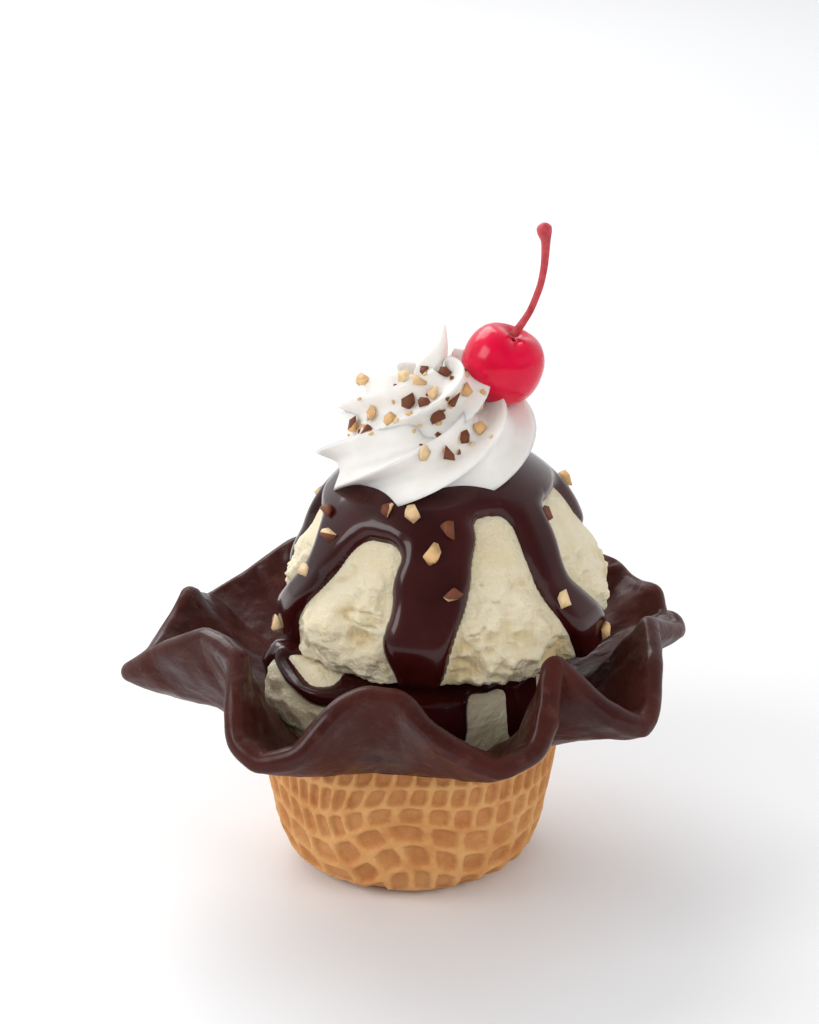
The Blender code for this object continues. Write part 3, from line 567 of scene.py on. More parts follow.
# An edge is a table of azimuth and the angle down from the top where the fudge ends. A stream is a
# chain of azimuth, angle down and half width in millimetres.
CAP_EDGE = np.array(((-180, 54), (-150, 56), (-134, 55), (-126, 54), (-117, 54.5), (-111, 56), (-94, 55),
                     (-79, 45), (-73, 42.6), (-66, 42), (-59, 42.6), (-54, 45), (-40, 48), (-25, 45), (0, 46),
                     (30, 48), (90, 51), (150, 50)), float)
CAP_STREAMS = (
    ((-94, 50, 8.4), (-94.5, 61, 8.1), (-96.5, 69, 8.8), (-98, 79, 7.8), (-100.6, 90, 7.4),
     (-100, 99.5, 5.4)),
    ((-43, 46, 5.2), (-45.5, 62, 4.6), (-44, 74, 4.8), (-37.5, 85, 5.3), (-27, 98, 5.8)),
    ((-148, 52, 8.0), (-148, 66, 5.4), (-155, 80, 4.8), (-163, 92, 4.6), (-169, 101, 6.4)),
    ((22, 44, 6.6), (26, 66, 6.2)),
    ((70, 46, 7.4), (74, 72, 6.8), (72, 92, 6.8)),
    ((112, 46, 6.8), (114, 64, 6.4)),
    ((152, 46, 7.2), (156, 70, 6.6), (152, 86, 6.8)))
POOL_EDGE = np.array(((-180, 54), (-140, 50), (-119, 50), (-100, 62), (-66, 61), (-54, 62.5), (-30, 62),
                      (60, 50), (120, 54)), float)
POOL_STREAMS = (
    ((-106, 50, 7.5), (-104, 72, 6.6)),
    ((-78, 50, 8.0), (-78, 76, 6.4)),
    ((-33, 50, 6.0), (-35, 70, 5.6), (-35, 80, 5.4)),
    ((-172, 52, 7.0), (-170, 68, 5.0)),
    ((20, 50, 8.0), (24, 68, 5.4)),
    ((96, 50, 7.0), (92, 70, 5.6)),
    ((-152, 48, 2.6), (-155, 59, 1.5), (-143, 62, 1.4), (-128, 66, 1.5), (-113, 60, 3.0)),
    ((-160, 48, 3.0), (-161, 61, 1.7), (-173, 73, 1.3)))


CORNER_CUTS = 3


def rounded(chain):
    """The same chain with its corners cut off several times, so a stream bends without kinks."""
    chain = np.array(chain, float)
    for _ in range(CORNER_CUTS):
        near, far = 0.75 * chain[:-1] + 0.25 * chain[1:], 0.25 * chain[:-1] + 0.75 * chain[1:]
        chain = np.concatenate([chain[:1], np.stack([near, far], 1).reshape(-1, 3), chain[-1:]])
    return chain


def inside_fudge(azimuth, angle, edge, streams, radius):
    """Millimetres inside the fudge's edge, less than 0 outside: a cap, softly joined to its streams."""
    field = (np.interp(azimuth, edge[:, 0], edge[:, 1], period=360) - angle) * math.radians(1) * radius
    here = directions(azimuth, angle)
    for chain in streams:
        best = np.full(field.shape, -1e3)
        chain = rounded(chain)
        for (a0, t0, w0), (a1, t1, w1) in zip(chain[:-1], chain[1:]):
            a, b = directions(a0, t0), directions(a1, t1)
            share = np.clip((here - a) @ (b - a) / ((b - a) @ (b - a)), 0, 1)
            foot = a + share[..., None] * (b - a)
            foot /= np.linalg.norm(foot, axis=-1, keepdims=True)
            best = np.maximum(best, w0 + share * (w1 - w0) - radius * np.linalg.norm(here - foot, axis=-1))
        blend = np.clip(0.5 + 0.5 * (best - field) / BLEND, 0, 1)
        field = field * (1 - blend) + best * blend + BLEND * blend * (1 - blend)
    return field


# %% [markdown]
# ## Scoops of ice cream
# A scoop is a ball that the spoon smooths in front and tears at its foot, where a ragged
# skirt is left. We work out its radius in every direction from the middle: a dome, a skirt
# that flares out, and crags that grow towards the skirt. Level strata, made by squeezing the
# noise upright, look like the tear lines a scoop leaves. A few lumps stand out where the spoon
# pushed the ice cream aside, each a soft bump at an azimuth and an angle down from the top.

# %% Scoop shapes
LOWER_BULGES = ((-131, 62, 4.6, 10), (-157, 57, 5.6, 9.5), (60, 62, 3.0, 11))
LOWER_LUMPS = ((-152, 76, 3.6, 7), (-140, 72, 2.4, 5), (-163, 79, 2.4, 5), (-175, 62, 3.8, 6))
UPPER_BULGES = ((-137, 88, 1.6, 8), (8, 84, 2.0, 10), (-62, 99, 1.2, 9))
UPPER_LUMPS = ((-174, 73, 2.2, 5.5), (-166, 84, 1.7, 5), (-136, 91, 1.8, 6), (-121, 96, 1.5, 5),
               (-15, 80, 2.3, 6), (-4, 70, 1.8, 5), (-20, 92, 1.8, 5), (-66, 97, 1.4, 6))
# Distances from a scoop's middle at which its noise is read.
LOWER_REACH, UPPER_REACH = 33, 35
TORN_AZIMUTH, TORN_SPREAD = -148, 30


def knobs(ways, places):
    """Soft bumps: azimuth, angle, height and spread of each; they fall off with the angle away."""
    total = 0
    for azimuth, angle, height, spread in places:
        near = np.degrees(np.arccos(np.clip(ways @ directions(azimuth, angle), -1, 1)))
        total = total + height * np.exp(-0.5 * (near / spread) ** 2)
    return total


def lower_radius(azimuth, angle):
    """Distance from the lower scoop's middle: turned to fit the cup, with two bulges at front left."""
    pairs = zip(LOWER_SIDE[:-1], LOWER_SIDE[1:])
    dense = np.concatenate([np.linspace(a, b, 24, endpoint=False) for a, b in pairs] + [LOWER_SIDE[-1:]])
    look = np.degrees(np.arctan2(dense[:, 0], dense[:, 1]))
    order = np.argsort(look)
    radius = np.interp(angle, look[order], np.hypot(dense[:, 0], dense[:, 1])[order])
    ways = directions(azimuth, angle)
    radius = radius + knobs(ways, LOWER_BULGES)
    flat_top = LOWER_SIDE[-1, 1] / np.maximum(np.cos(np.radians(angle)), 0.3)
    return np.where(angle < 50, np.minimum(radius, flat_top), radius)


def upper_radius(azimuth, angle):
    """Distance from the upper scoop's middle: dome, then skirt."""
    flare = smooth_step(72, 92, angle)
    radius = DOME_RADIUS + (SKIRT_RADIUS - DOME_RADIUS) * flare
    return radius + knobs(directions(azimuth, angle), UPPER_BULGES)


def upper_crags(azimuth, angle):
    """Crags in millimetres: faint strata on the dome, torn lumps on the skirt."""
    ways = directions(azimuth, angle)
    place = ways * UPPER_REACH
    strata = place * (0.4, 0.4, 1.5)
    torn = smooth_step(60, 90, angle + 12 * value_noise(place, 12.0, 55))
    lines = ridged_noise(strata, 6.5, 61) - 0.5
    clumps = 1.5 * layered_noise(place, 6.0, 71, 3) + 2.3 * (ridged_noise(place, 5.2, 77, 3) - 0.55)
    fine = 0.25 * layered_noise(place, 1.9, 81, 2)
    tears = smooth_step(0.66, 0.92, ridged_noise(place * (0.3, 0.3, 1.2), 5.0, 63, 2))
    tears = tears * smooth_step(56, 74, angle)
    lumps = knobs(ways, UPPER_LUMPS)
    grit = 0.6 * (ridged_noise(place, 2.6, 85, 2) - 0.5)
    return (lumps + 0.28 * layered_noise(place, 14.0, 51, 2) + 0.4 * lines - 1.5 * tears
            + torn * (clumps + 0.7 * lines + fine + grit) + 0.15 * fine)


def lower_crags(azimuth, angle):
    """Crags in millimetres, only where the lower scoop stands out of the cup; rougher at its left."""
    place = directions(azimuth, angle) * LOWER_REACH
    open_part = smooth_step(92, 76, angle)
    clumps = 1.0 * layered_noise(place, 6.0, 91, 3) + 1.3 * (ridged_noise(place, 4.2, 97, 3) - 0.5)
    left = np.exp(-(((azimuth - TORN_AZIMUTH + 180) % 360 - 180) / TORN_SPREAD) ** 2)
    lumps = knobs(directions(azimuth, angle), LOWER_LUMPS)
    grit = 0.7 * left * (ridged_noise(place, 2.4, 99, 2) - 0.5)
    return open_part * (lumps + (0.35 + 1.15 * left) * clumps + grit)


# %% [markdown]
# One grid of directions serves a scoop and its fudge. Under the fudge the crags fade out, so
# the coat lies on a clean surface and no ice cream pokes through it. The scoop's hollows are
# marked on its mesh, because ice cream looks yellower where light can't reach.

# %% Scoop and coat builder
# The fudge's edge: how wide its round is, and how steeply and how far it dives under the surface.
EDGE_WIDE, DIVE_SLOPE, DIVE_DEEP = 3.4, 1.3, 1.1
# The coat's back lies this far inside the scoop, and its cells end this far outside its edge.
BACK_DEEP, CELL_MARGIN = 1.3, 1.0
# Rows of the grid: close together down to FINE_END degrees, then a few for the hidden foot.
FINE_END, FINE_SHARE, FOOT_ROWS = 112, 0.42, 26
COAT_END = 108


def fudge_depth(field, thickness):
    """Thickness of fudge: a quarter round rising to full depth; outside, it dives under the surface."""
    quarter_round = np.sqrt(1 - (1 - np.clip(field / EDGE_WIDE, 0, 1)) ** 2)
    return np.where(field > 0, thickness * quarter_round, np.maximum(field * DIVE_SLOPE, -DIVE_DEEP))


def skin_over_cells(name, outer, inner, kept, tops):
    """Closed skin over the kept cells of a grid: outer face, inner face turned over, walls, top fans.

    An edge of a kept cell that no other kept cell walks the opposite way is a border, and gets a
    wall down to the inner face. Points that no face uses are dropped.
    """
    rows, columns = outer.shape[:2]
    half = rows * columns
    quads = wrap_quads(rows, columns, False).reshape(rows - 1, -1, 4)[kept]
    edges = np.concatenate([quads[:, [k, (k + 1) % 4]] for k in range(4)])
    border = edges[~np.isin(edges @ (2 * half, 1), edges @ (1, 2 * half))]
    border = border[(border >= columns).any(1)]
    sides = np.stack([border[:, 1], border[:, 0], border[:, 0] + half, border[:, 1] + half], -1)
    j = np.arange(columns)
    j2 = (j + 1) % columns
    fans = np.concatenate([np.stack([0 * j + 2 * half, j2, j], -1),
                           np.stack([0 * j + 2 * half + 1, j + half, j2 + half], -1)])
    quads = np.concatenate([quads, quads[:, ::-1] + half, sides])
    points = np.concatenate([outer.reshape(-1, 3), inner.reshape(-1, 3), tops])
    used, fresh = np.unique(np.concatenate([quads.ravel(), fans.ravel()]), return_inverse=True)
    quads, fans = fresh[:quads.size].reshape(-1, 4), fresh[quads.size:].reshape(-1, 3)
    return make_mesh(name, points[used], quads, fans)


def scoop_with_fudge(names, centre, radius_at, crags_at, field_at, thickness, foot, columns, hang=0.0):
    """A scoop as one ball-like sheet, and the coat as the cells of that sheet that fudge covers.

    The scoop's radius is its form plus crags where it is bare, cut off level at its foot. Where it is
    bare and ragged, it may hang lower, by hang millimetres. The coat's outer face is the form plus
    the fudge's depth, and its inner face lies inside the scoop.
    """
    upper = np.linspace(1.2, FINE_END, int(columns * FINE_SHARE))
    angle = np.concatenate([upper, np.linspace(FINE_END + 2, 176, FOOT_ROWS)])
    azimuth, angle = np.meshgrid(even_azimuths(columns), angle)
    field = field_at(azimuth, angle)
    ways = directions(azimuth, angle)
    base = radius_at(azimuth, angle)
    bare = smooth_step(0.3, -2.6, field)
    radius = base + bare * crags_at(azimuth, angle)
    drop = np.maximum(-ways[..., 2], 1e-3)
    near_edge = smooth_step(0.84, 0.94, np.sin(np.radians(angle)))
    ragged = smooth_step(0.0, 0.7, value_noise(ways * UPPER_REACH, 6.0, 57)) * near_edge
    limit = np.where(angle > 90, (foot + hang * bare * ragged) / drop, 1e3)
    radius = np.minimum(radius, limit + 0.3 * bare)
    scoop = closed_sheet(names[0], centre + radius[..., None] * ways,
                         [centre + (0, 0, radius[0].mean()), centre - (0, 0, foot)])
    mark(scoop, "hollow", np.append(np.clip(0.1 - bare * crags_at(azimuth, angle) / 1.5, 0, 1), (0, 0)))

    over = base + fudge_depth(field, thickness)
    kept = np.minimum(field, np.roll(field, -1, 1))
    kept = np.minimum(kept[:-1], kept[1:]) > -CELL_MARGIN
    kept[angle[1:, 0] > COAT_END] = False
    outer = centre + over[..., None] * ways
    inner = centre + (base - BACK_DEEP)[..., None] * ways
    tops = [centre + (0, 0, over[0].mean()), centre + (0, 0, base[0].mean() - BACK_DEEP)]
    coat = skin_over_cells(names[1], outer, inner, kept, tops)
    return scoop, coat


# The angle down at which each coat ends, and a degree's length there in millimetres.
POOL_END, POOL_DEGREE = 90, 0.576
CAP_END, CAP_DEGREE = 105.5, 0.611


def pool_field(azimuth, angle):
    """The fudge on the lower scoop, which stops before the cup's wall."""
    field = inside_fudge(azimuth, angle, POOL_EDGE, POOL_STREAMS, 33.0)
    wander = 0.8 * value_noise(directions(azimuth, angle) * LOWER_REACH, 7.0, 301)
    return np.minimum(field + wander, (POOL_END - angle) * POOL_DEGREE)


def cap_field(azimuth, angle):
    """The fudge on the upper scoop, which ends at the skirt's foot."""
    field = inside_fudge(azimuth, angle, CAP_EDGE, CAP_STREAMS, 35.0)
    wander = 0.5 * value_noise(directions(azimuth, angle) * UPPER_REACH, 6.0, 302)
    return np.minimum(field + wander, (CAP_END - angle) * CAP_DEGREE)


low_scoop, low_fudge = scoop_with_fudge(("scoop_low", "fudge_low"), LOWER_CENTRE, lower_radius, lower_crags,
                                        pool_field, 1.95, 32.1, 360)
top_scoop, top_fudge = scoop_with_fudge(("scoop_top", "fudge_top"), UPPER_CENTRE, upper_radius, upper_crags,
                                        cap_field, 2.75, SKIRT_FOOT, 420, hang=2.8)

# %% [markdown]
# ## Vanilla ice cream and fudge
# Ice cream is milk fat and tiny ice crystals: warm white, slightly see-through, rough where it
# tore. A little light passes under its surface. Fudge is the opposite: almost black and wet,
# so its shape is drawn only by what it mirrors, with a clear coat over a dark brown body.

# %% Ice cream and fudge finishes
VANILLA, VANILLA_PALE, VANILLA_DEEP = (0.745, 0.65, 0.44), (0.815, 0.74, 0.56), (0.66, 0.505, 0.255)
FUDGE_DARK, FUDGE_BROWN = (0.023, 0.0018, 0.0019), (0.046, 0.0066, 0.006)

vanilla = Finish("vanilla ice cream", Subsurface_Weight=0.35, Subsurface_Radius=(0.005, 0.0035, 0.0018),
                 Subsurface_Scale=0.6, Specular_IOR_Level=0.4)
creamy = vanilla.noise(90, 4, 0.6)
pits = vanilla.noise(900, 3, 0.65)
ivory = vanilla.mix(creamy.ramp(0.35, 0.68), VANILLA, VANILLA_PALE)
vanilla.set("Base Color", vanilla.mix((vanilla.attribute("hollow") * 0.8).clamp(), ivory, VANILLA_DEEP))
vanilla.set("Roughness", 0.38 + 0.25 * pits)
vanilla.bump(pits * 1.2 + vanilla.noise(330, 5, 0.65) * 1.8 + vanilla.cells(500) * 0.3, 0.65, 0.0008)
vanilla.wear(low_scoop, "lower_scoop")
vanilla.wear(top_scoop, "upper_scoop")

fudge = Finish("hot fudge", Specular_IOR_Level=0.2, Coat_Roughness=0.05, Coat_IOR=1.4)
thick = fudge.noise(60, 3, 0.5)
fudge.set("Base Color", fudge.mix(thick.ramp(0.35, 0.7), FUDGE_DARK, FUDGE_BROWN))
fudge.set("Roughness", 0.16 + 0.14 * thick)
fudge.set("Coat Weight", 0.3 + 0.3 * thick)
fudge.bump(fudge.noise(110, 2, 0.5), 0.12, 0.0008)
fudge.wear(low_fudge, "fudge_pool")
fudge.wear(top_fudge, "fudge_cap")

# %% [markdown]
# ## Piped cream
# A star nozzle leaves a rope with sharp ridges. Piped round and up, the rope winds into a
# swirl and is pulled off in a point. We carry a star-shaped profile along a rising spiral
# that tightens and thins. Points deep inside the fudge or the cherry are pushed back to just
# under the surface, so the cream rests on one and cradles the other.

# %% Cream swirl
CREAM_FOOT, CREAM_TIP = np.array((5.0, 2.0)), np.array((7.8, 3.0, 130.6))
CHERRY_CENTRE, CHERRY_RADIUS = np.array((21.2, 5.0, 120.3)), 9.7
# Path table: share of the way, azimuth, distance from the axis, height, rope radius.
ROPE = np.array(((0.00, -230, 12.0, 97.5, 7.5), (0.06, -195, 14.8, 99.6, 10.2),
                 (0.20, -110, 13.8, 101.6, 9.9), (0.34, -20, 13.2, 104.6, 9.8),
                 (0.46, 70, 12.2, 106.8, 9.0), (0.58, 165, 11.9, 109.3, 8.8),
                 (0.68, 250, 8.8, 113.0, 7.9), (0.78, 340, 5.6, 115.8, 7.2),
                 (0.86, 430, 3.2, 117.8, 6.2), (0.92, 505, 1.4, 120.8, 4.8),
                 (0.96, 560, 0.5, 124.6, 2.8), (1.00, 600, 0.0, 130.2, 0.3)))
# Ridges of the star, and how often they turn round the rope on its way up.
RIDGES, RIDGE_TURNS = 6, -2.0
# The star's hollows and the height of its ridges, as shares of the rope's radius; its flatness.
STAR_HOLLOW, STAR_RIDGE, STAR_FLAT = 0.72, 0.45, 0.92
# How far out of the scoop and how deep in the cherry the cream's points are kept.
ABOVE_DOME, INSIDE_CHERRY = 2.0, 0.5


def soften(values, kernel):
    """Weighted average of each value's neighbours; past the ends the values go on, mirrored."""
    reach = len(kernel) // 2
    padded = np.concatenate([2 * values[0] - values[reach:0:-1], values,
                             2 * values[-1] - values[-2:-reach - 2:-1]])
    return np.convolve(padded, kernel / kernel.sum(), "valid")


def smooth_table(table, share):
    """Columns of a table at each share of the way, rounded off between its rows."""
    fine = np.linspace(0, 1, 600)
    curves = [np.interp(fine, table[:, 0], column) for column in table.T[1:]]
    return [np.interp(share, fine, soften(curve, np.hanning(41))) for curve in curves]


def push_out(points, centre, radius):
    """Move the points that lie inside a ball straight out to its surface."""
    away = points - centre
    far = np.linalg.norm(away, axis=-1, keepdims=True)
    return np.where(far < radius, centre + away / np.maximum(far, 1e-6) * radius, points)


def cream_swirl():
    """Star profile carried along a rising, tightening spiral; ridges are sharp, hollows round."""
    length, around = ((860, 18 * RIDGES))
    share = np.linspace(0, 1, length)
    azimuth, distance, height, thick = smooth_table(ROPE, share)
    lean = smooth_step(112, 130, height)[:, None] * (CREAM_TIP[:2] - CREAM_FOOT)
    path = polar(azimuth, distance, height)
    path[:, :2] += CREAM_FOOT + lean
    along = np.gradient(path, axis=0)
    along /= np.linalg.norm(along, axis=1, keepdims=True)
    out = polar(azimuth, 1.0, 0.0)
    out -= (out * along).sum(1, keepdims=True) * along
    out /= np.linalg.norm(out, axis=1, keepdims=True)
    up = np.cross(along, out)
    turn = (2 * math.pi * np.arange(around) / around)[None, :]
    ridge = (1 - np.abs(np.sin(RIDGES * turn / 2))) ** 1.4
    turn = turn + 2 * math.pi * RIDGE_TURNS * share[:, None]
    star = STAR_HOLLOW + STAR_RIDGE * ridge * smooth_step(0.98, 0.82, share)[:, None]
    outward = (thick[:, None] * star * np.cos(turn))[..., None] * out[:, None]
    upward = (thick[:, None] * star * np.sin(turn) * STAR_FLAT)[..., None] * up[:, None]
    grid = path[:, None] + outward + upward
    grid += 0.22 * layered_noise(grid, 9.0, 131, 2)[..., None] * out[:, None]
    grid = push_out(grid, UPPER_CENTRE, DOME_RADIUS + ABOVE_DOME)
    grid = push_out(grid, CHERRY_CENTRE, CHERRY_RADIUS - INSIDE_CHERRY)
    return closed_sheet("cream_swirl", grid, [grid[0].mean(0), CREAM_TIP])


swirl = cream_swirl()

# %% [markdown]
# ## The cream's finish
# Whipped cream is full of fine bubbles: light goes in, scatters and comes out close by, which
# softens every shadow on it. We let light pass a few millimetres under the surface, and add a
# faint grain for the bubbles that show.

# %% Cream finish
CREAM_SHADE, CREAM_WHITE = (0.81, 0.785, 0.745), (0.87, 0.85, 0.82)
cream = Finish("whipped cream", Subsurface_Weight=0.4, Subsurface_Radius=(0.004, 0.0035, 0.003),
               Subsurface_Scale=0.6, Specular_IOR_Level=0.45)
airy = cream.noise(160, 3, 0.55)
cream.set("Base Color", cream.mix(airy.ramp(0.35, 0.7), CREAM_SHADE, CREAM_WHITE))
cream.set("Roughness", 0.34 + 0.2 * airy)
cream.bump(airy * 1.0 + cream.noise(1100, 2, 0.6) * 0.5, 0.2, 0.0005)
cream.wear(swirl, "whipped_cream")

# %% [markdown]
# ## Cherry and stem
# A cocktail cherry is a ball with a dimple where its stem stands, dyed bright red and wet
# with syrup. It leans to the right on the cream. The stem is a tube along a curve, thinner in
# the middle, wrinkled lengthways, with a knob where it was picked.

# %% Cherry and stem shapes
CHERRY_LEAN, DIMPLE_DEEP, DIMPLE_WIDE = 20.0, 3.2, 23
CREASE_AZIMUTH, CREASE_SPREAD, CREASE_DEEP = 272, 24, 1.6
STEM_SIDES = 28
STEM = np.array(((23.6, 5.0, 127.2), (24.3, 5.0, 128.2), (25.6, 5.0, 130.1), (27.4, 5.0, 133.0),
                 (29.5, 5.0, 138.8), (30.3, 5.0, 143.6), (30.5, 5.0, 149.0), (30.2, 5.0, 150.8),
                 (30.0, 5.0, 152.2), (29.9, 5.0, 153.0)))
STEM_RADII = np.array((1.0, 0.95, 0.85, 0.78, 0.78, 0.82, 1.0, 1.6, 1.7, 0.9))


def cherry_ball():
    """Ball whose radius dips at its pole and along one crease below it, then leans right."""
    angle, azimuth = np.meshgrid(np.linspace(1.5, 178.5, 90), np.arange(160) * 2.25, indexing="ij")
    ways = directions(azimuth, angle)
    dimple = DIMPLE_DEEP * np.exp(-(angle / DIMPLE_WIDE) ** 2)
    radius = CHERRY_RADIUS * (1 - 0.03 * np.sin(np.radians(angle)) ** 8) - dimple
    crease = np.exp(-((azimuth - CREASE_AZIMUTH) / CREASE_SPREAD) ** 2) * smooth_step(80, 18, angle)
    radius = radius - CREASE_DEEP * crease + 0.06 * layered_noise(ways * 10, 6.0, 151, 2)
    shape = radius[..., None] * ways
    poles = np.array([(0, 0, CHERRY_RADIUS - DIMPLE_DEEP), (0, 0, -CHERRY_RADIUS)])
    lean = math.radians(CHERRY_LEAN)
    turn = np.array(((math.cos(lean), 0, -math.sin(lean)), (0, 1, 0), (math.sin(lean), 0, math.cos(lean))))
    return closed_sheet("cherry_fruit", shape @ turn + CHERRY_CENTRE, poles @ turn + CHERRY_CENTRE)


def stem_tube():
    """Round profile carried along the stem's curve, with shallow wrinkles lengthways."""
    share = np.linspace(0, 1, 90)
    knots = np.linspace(0, 1, len(STEM))
    kernel = np.hanning(13)[1:-1]
    line = np.stack([soften(np.interp(share, knots, STEM[:, k]), kernel) for k in range(3)], -1)
    radius = soften(np.interp(share, knots, STEM_RADII), kernel)
    along = np.gradient(line, axis=0)
    along /= np.linalg.norm(along, axis=1, keepdims=True)
    first = np.cross(along, (0.0, 1.0, 0.0))
    first /= np.linalg.norm(first, axis=1, keepdims=True)
    second = np.cross(along, first)
    turn = np.arange(STEM_SIDES) * 2 * math.pi / STEM_SIDES
    wrinkle = 1 + 0.05 * np.sin(5 * turn + 3 * share[:, None]) + 0.03 * np.sin(9 * turn - 5 * share[:, None])
    ring = radius[:, None] * wrinkle
    across = (ring * np.cos(turn))[..., None] * first[:, None]
    grid = line[:, None] + across + (ring * np.sin(turn))[..., None] * second[:, None]
    return closed_sheet("cherry_stalk", grid, [line[0], line[-1] + (0, 0, 0.35)])


fruit = cherry_ball()
stalk = stem_tube()

# %% [markdown]
# ## Syrup and dye
# The cherry's skin is thin, even and wet, so a clear coat lies over a deep red that wanders a
# little towards pink. The stem took the same dye but stays fibrous and dull, with paler streaks.

# %% Cherry and stem finishes
CHERRY_DEEP, CHERRY_BRIGHT = (0.60, 0.0006, 0.028), (0.79, 0.003, 0.055)
STEM_DARK, STEM_PALE = (0.38, 0.018, 0.03), (0.58, 0.08, 0.095)
red = Finish("cherry skin", Subsurface_Weight=0.12, Subsurface_Radius=(0.005, 0.001, 0.001),
             Subsurface_Scale=0.5, Coat_Roughness=0.14, Specular_IOR_Level=0.2)
blush = red.noise(110, 3, 0.5)
red.set("Base Color", red.mix(blush.ramp(0.3, 0.7), CHERRY_DEEP, CHERRY_BRIGHT))
red.set("Roughness", 0.14 + 0.12 * blush)
red.set("Coat Weight", 0.15 + 0.2 * blush)
red.bump(red.noise(260, 3, 0.5), 0.08, 0.0006)
red.wear(fruit, "cherry")

woody = Finish("dyed stalk", Specular_IOR_Level=0.4, Subsurface_Weight=0.1,
               Subsurface_Radius=(0.003, 0.001, 0.001), Subsurface_Scale=0.3)
fibre = woody.noise(500, 3, 0.6)
woody.set("Base Color", woody.mix(fibre.ramp(0.3, 0.7), STEM_DARK, STEM_PALE))
woody.set("Roughness", 0.4 + 0.2 * fibre)
woody.bump(fibre, 0.25, 0.0004)
woody.wear(stalk, "cherry_stem")

# %% [markdown]
# ## Chopped nuts
# Chopped nuts break into flat-faced chips with sharp edges, cream-coloured inside, some with
# brown skin on one side. A chip is the tightest skin round a few random points, and three points
# make one of its faces when all the others lie on one side of them. We try every three at once.

# %% Nut chips
CHIP_POINTS, CHIP_SIZE = 11, np.array((2.25, 1.65, 1.4))
TRIPLES = np.array(list(itertools.combinations(range(CHIP_POINTS), 3)))


def chip(rng, size):
    """Points of one chip on a stretched ball, its faces, and each face's direction."""
    points = rng.normal(size=(CHIP_POINTS, 3))
    points = points / np.linalg.norm(points, axis=1, keepdims=True) * size
    first, second, third = (points[TRIPLES[:, k]] for k in range(3))
    normals = np.cross(second - first, third - first)
    sides = np.einsum("tk,tpk->tp", normals, points[None] - first[:, None])
    facing_out, facing_in = (sides < 1e-9).all(1), (sides > -1e-9).all(1)
    faces = np.concatenate([TRIPLES[facing_out], TRIPLES[facing_in][:, ::-1]])
    normals = np.concatenate([normals[facing_out], -normals[facing_in]])
    return points, faces, normals / np.linalg.norm(normals, axis=1, keepdims=True)


def scatter_chips(name, places, outs, sizes, rng, skinned):
    """All the chips on one surface as a single mesh: each turned at random and sunk a little."""
    points, faces, skins, tints = [], [], [], []
    for n, (place, out, size) in enumerate(zip(places, outs, sizes)):
        body, corners, normals = chip(rng, CHIP_SIZE * size)
        flat = np.cross(out, rng.normal(size=3))
        flat /= np.linalg.norm(flat)
        points.append(body @ np.stack([flat, np.cross(out, flat), out]) + place)
        faces.append(corners + CHIP_POINTS * n)
        brown = 1.0 if n in skinned else float(rng.random() < 0.25)
        skins.append(brown * (normals @ (0.5, 0.5, 0.7) > 0.15 - 0.3 * (n in skinned)))
        tints.append(np.clip(rng.random() + rng.uniform(-0.25, 0.25, len(corners)), 0, 1))
    no_quads = np.zeros((0, 4), int)
    piece = make_mesh(name, np.concatenate(points), no_quads, np.concatenate(faces), smooth=False)
    mark(piece, "skin", np.concatenate(skins), "FACE")
    mark(piece, "tint", np.concatenate(tints), "FACE")
    return piece


# %% [markdown]
# ## Where the nuts fell
# Two tables say where the chips lie: azimuth and angle down from the top on the fudge, azimuth
# and height on the cream. Each chip lies where a straight line from outside first meets the
# surface, half sunk in it. Two crumbs fall near every chip on the cream.

# %% Scatter the nuts
CAP_NUTS = ((-157, 52), (-146, 59), (-120, 43.5), (-107, 43), (-89, 48.5), (-96, 57), (-88, 71), (-153, 74),
            (-168, 99), (-45, 79), (-26, 96), (-35, 49), (23, 54), (70, 70), (110, 52), (152, 62))
CREAM_NUTS = ((-133, 121), (-52, 120), (-150, 118), (-106, 118.5), (-88, 115), (-113, 113), (-98, 112.5),
              (-70, 114), (-85, 109.5), (-146, 108), (-122, 108), (-38, 111), (-49, 105), (-66, 104),
              (-95, 101.5), (-80, 101), (-141, 103), (-166, 103), (-52, 115.5), (40, 108), (95, 113),
              (140, 105), (75, 102), (175, 113))
# Which chips show brown skin, by their number.
CAP_SKINNED, CREAM_SKINNED = (0, 2, 4, 6, 8, 11), (0, 1, 5, 6, 7, 8, 13, 27, 33, 41, 52, 60)
CRUMBS_EACH = 2
# How far a crumb falls from its chip: degrees round, millimetres up or down.
CRUMB_AROUND, CRUMB_UP, CRUMB_LOWEST, CRUMB_HIGHEST = 8, 2.2, 99, 120


def nearest_surface(piece, origins, ways):
    """Where rays from outside first meet a piece, and the surface's direction there, in millimetres."""
    hits, outs = [], []
    for origin, way in zip(origins, ways):
        found, place, normal, _ = piece.ray_cast(Vector(origin) * MM, Vector(way))
        if found:
            hits.append(np.array(place) / MM)
            outs.append(np.array(normal))
    return hits, outs


rng = np.random.default_rng(2027)
cap_ways = directions(*np.array(CAP_NUTS, float).T)
cap_hits, cap_outs = nearest_surface(top_fudge, UPPER_CENTRE + 60 * cap_ways, -cap_ways)
cap_places = [place + 0.7 * out for place, out in zip(cap_hits, cap_outs)]
fudge_nuts = scatter_chips("nuts_on_fudge", cap_places, cap_outs,
                           rng.uniform(1.05, 1.35, len(cap_hits)), rng, CAP_SKINNED)
around, rise = np.array(CREAM_NUTS, float).T
crumbs = CRUMBS_EACH * len(around)
crumb_around = np.repeat(around, CRUMBS_EACH) + rng.normal(0, CRUMB_AROUND, crumbs)
crumb_rise = np.repeat(rise, CRUMBS_EACH) + rng.normal(0, CRUMB_UP, crumbs)
around = np.concatenate([around, crumb_around])
rise = np.concatenate([rise, np.clip(crumb_rise, CRUMB_LOWEST, CRUMB_HIGHEST)])
start = polar(around, 60.0, rise + 22.0)
start[:, :2] += CREAM_FOOT
middle = np.broadcast_to(CREAM_FOOT, (len(rise), 2))
aim = np.concatenate([middle, rise[:, None] - 2.0], -1) - start
aim /= np.linalg.norm(aim, axis=1, keepdims=True)
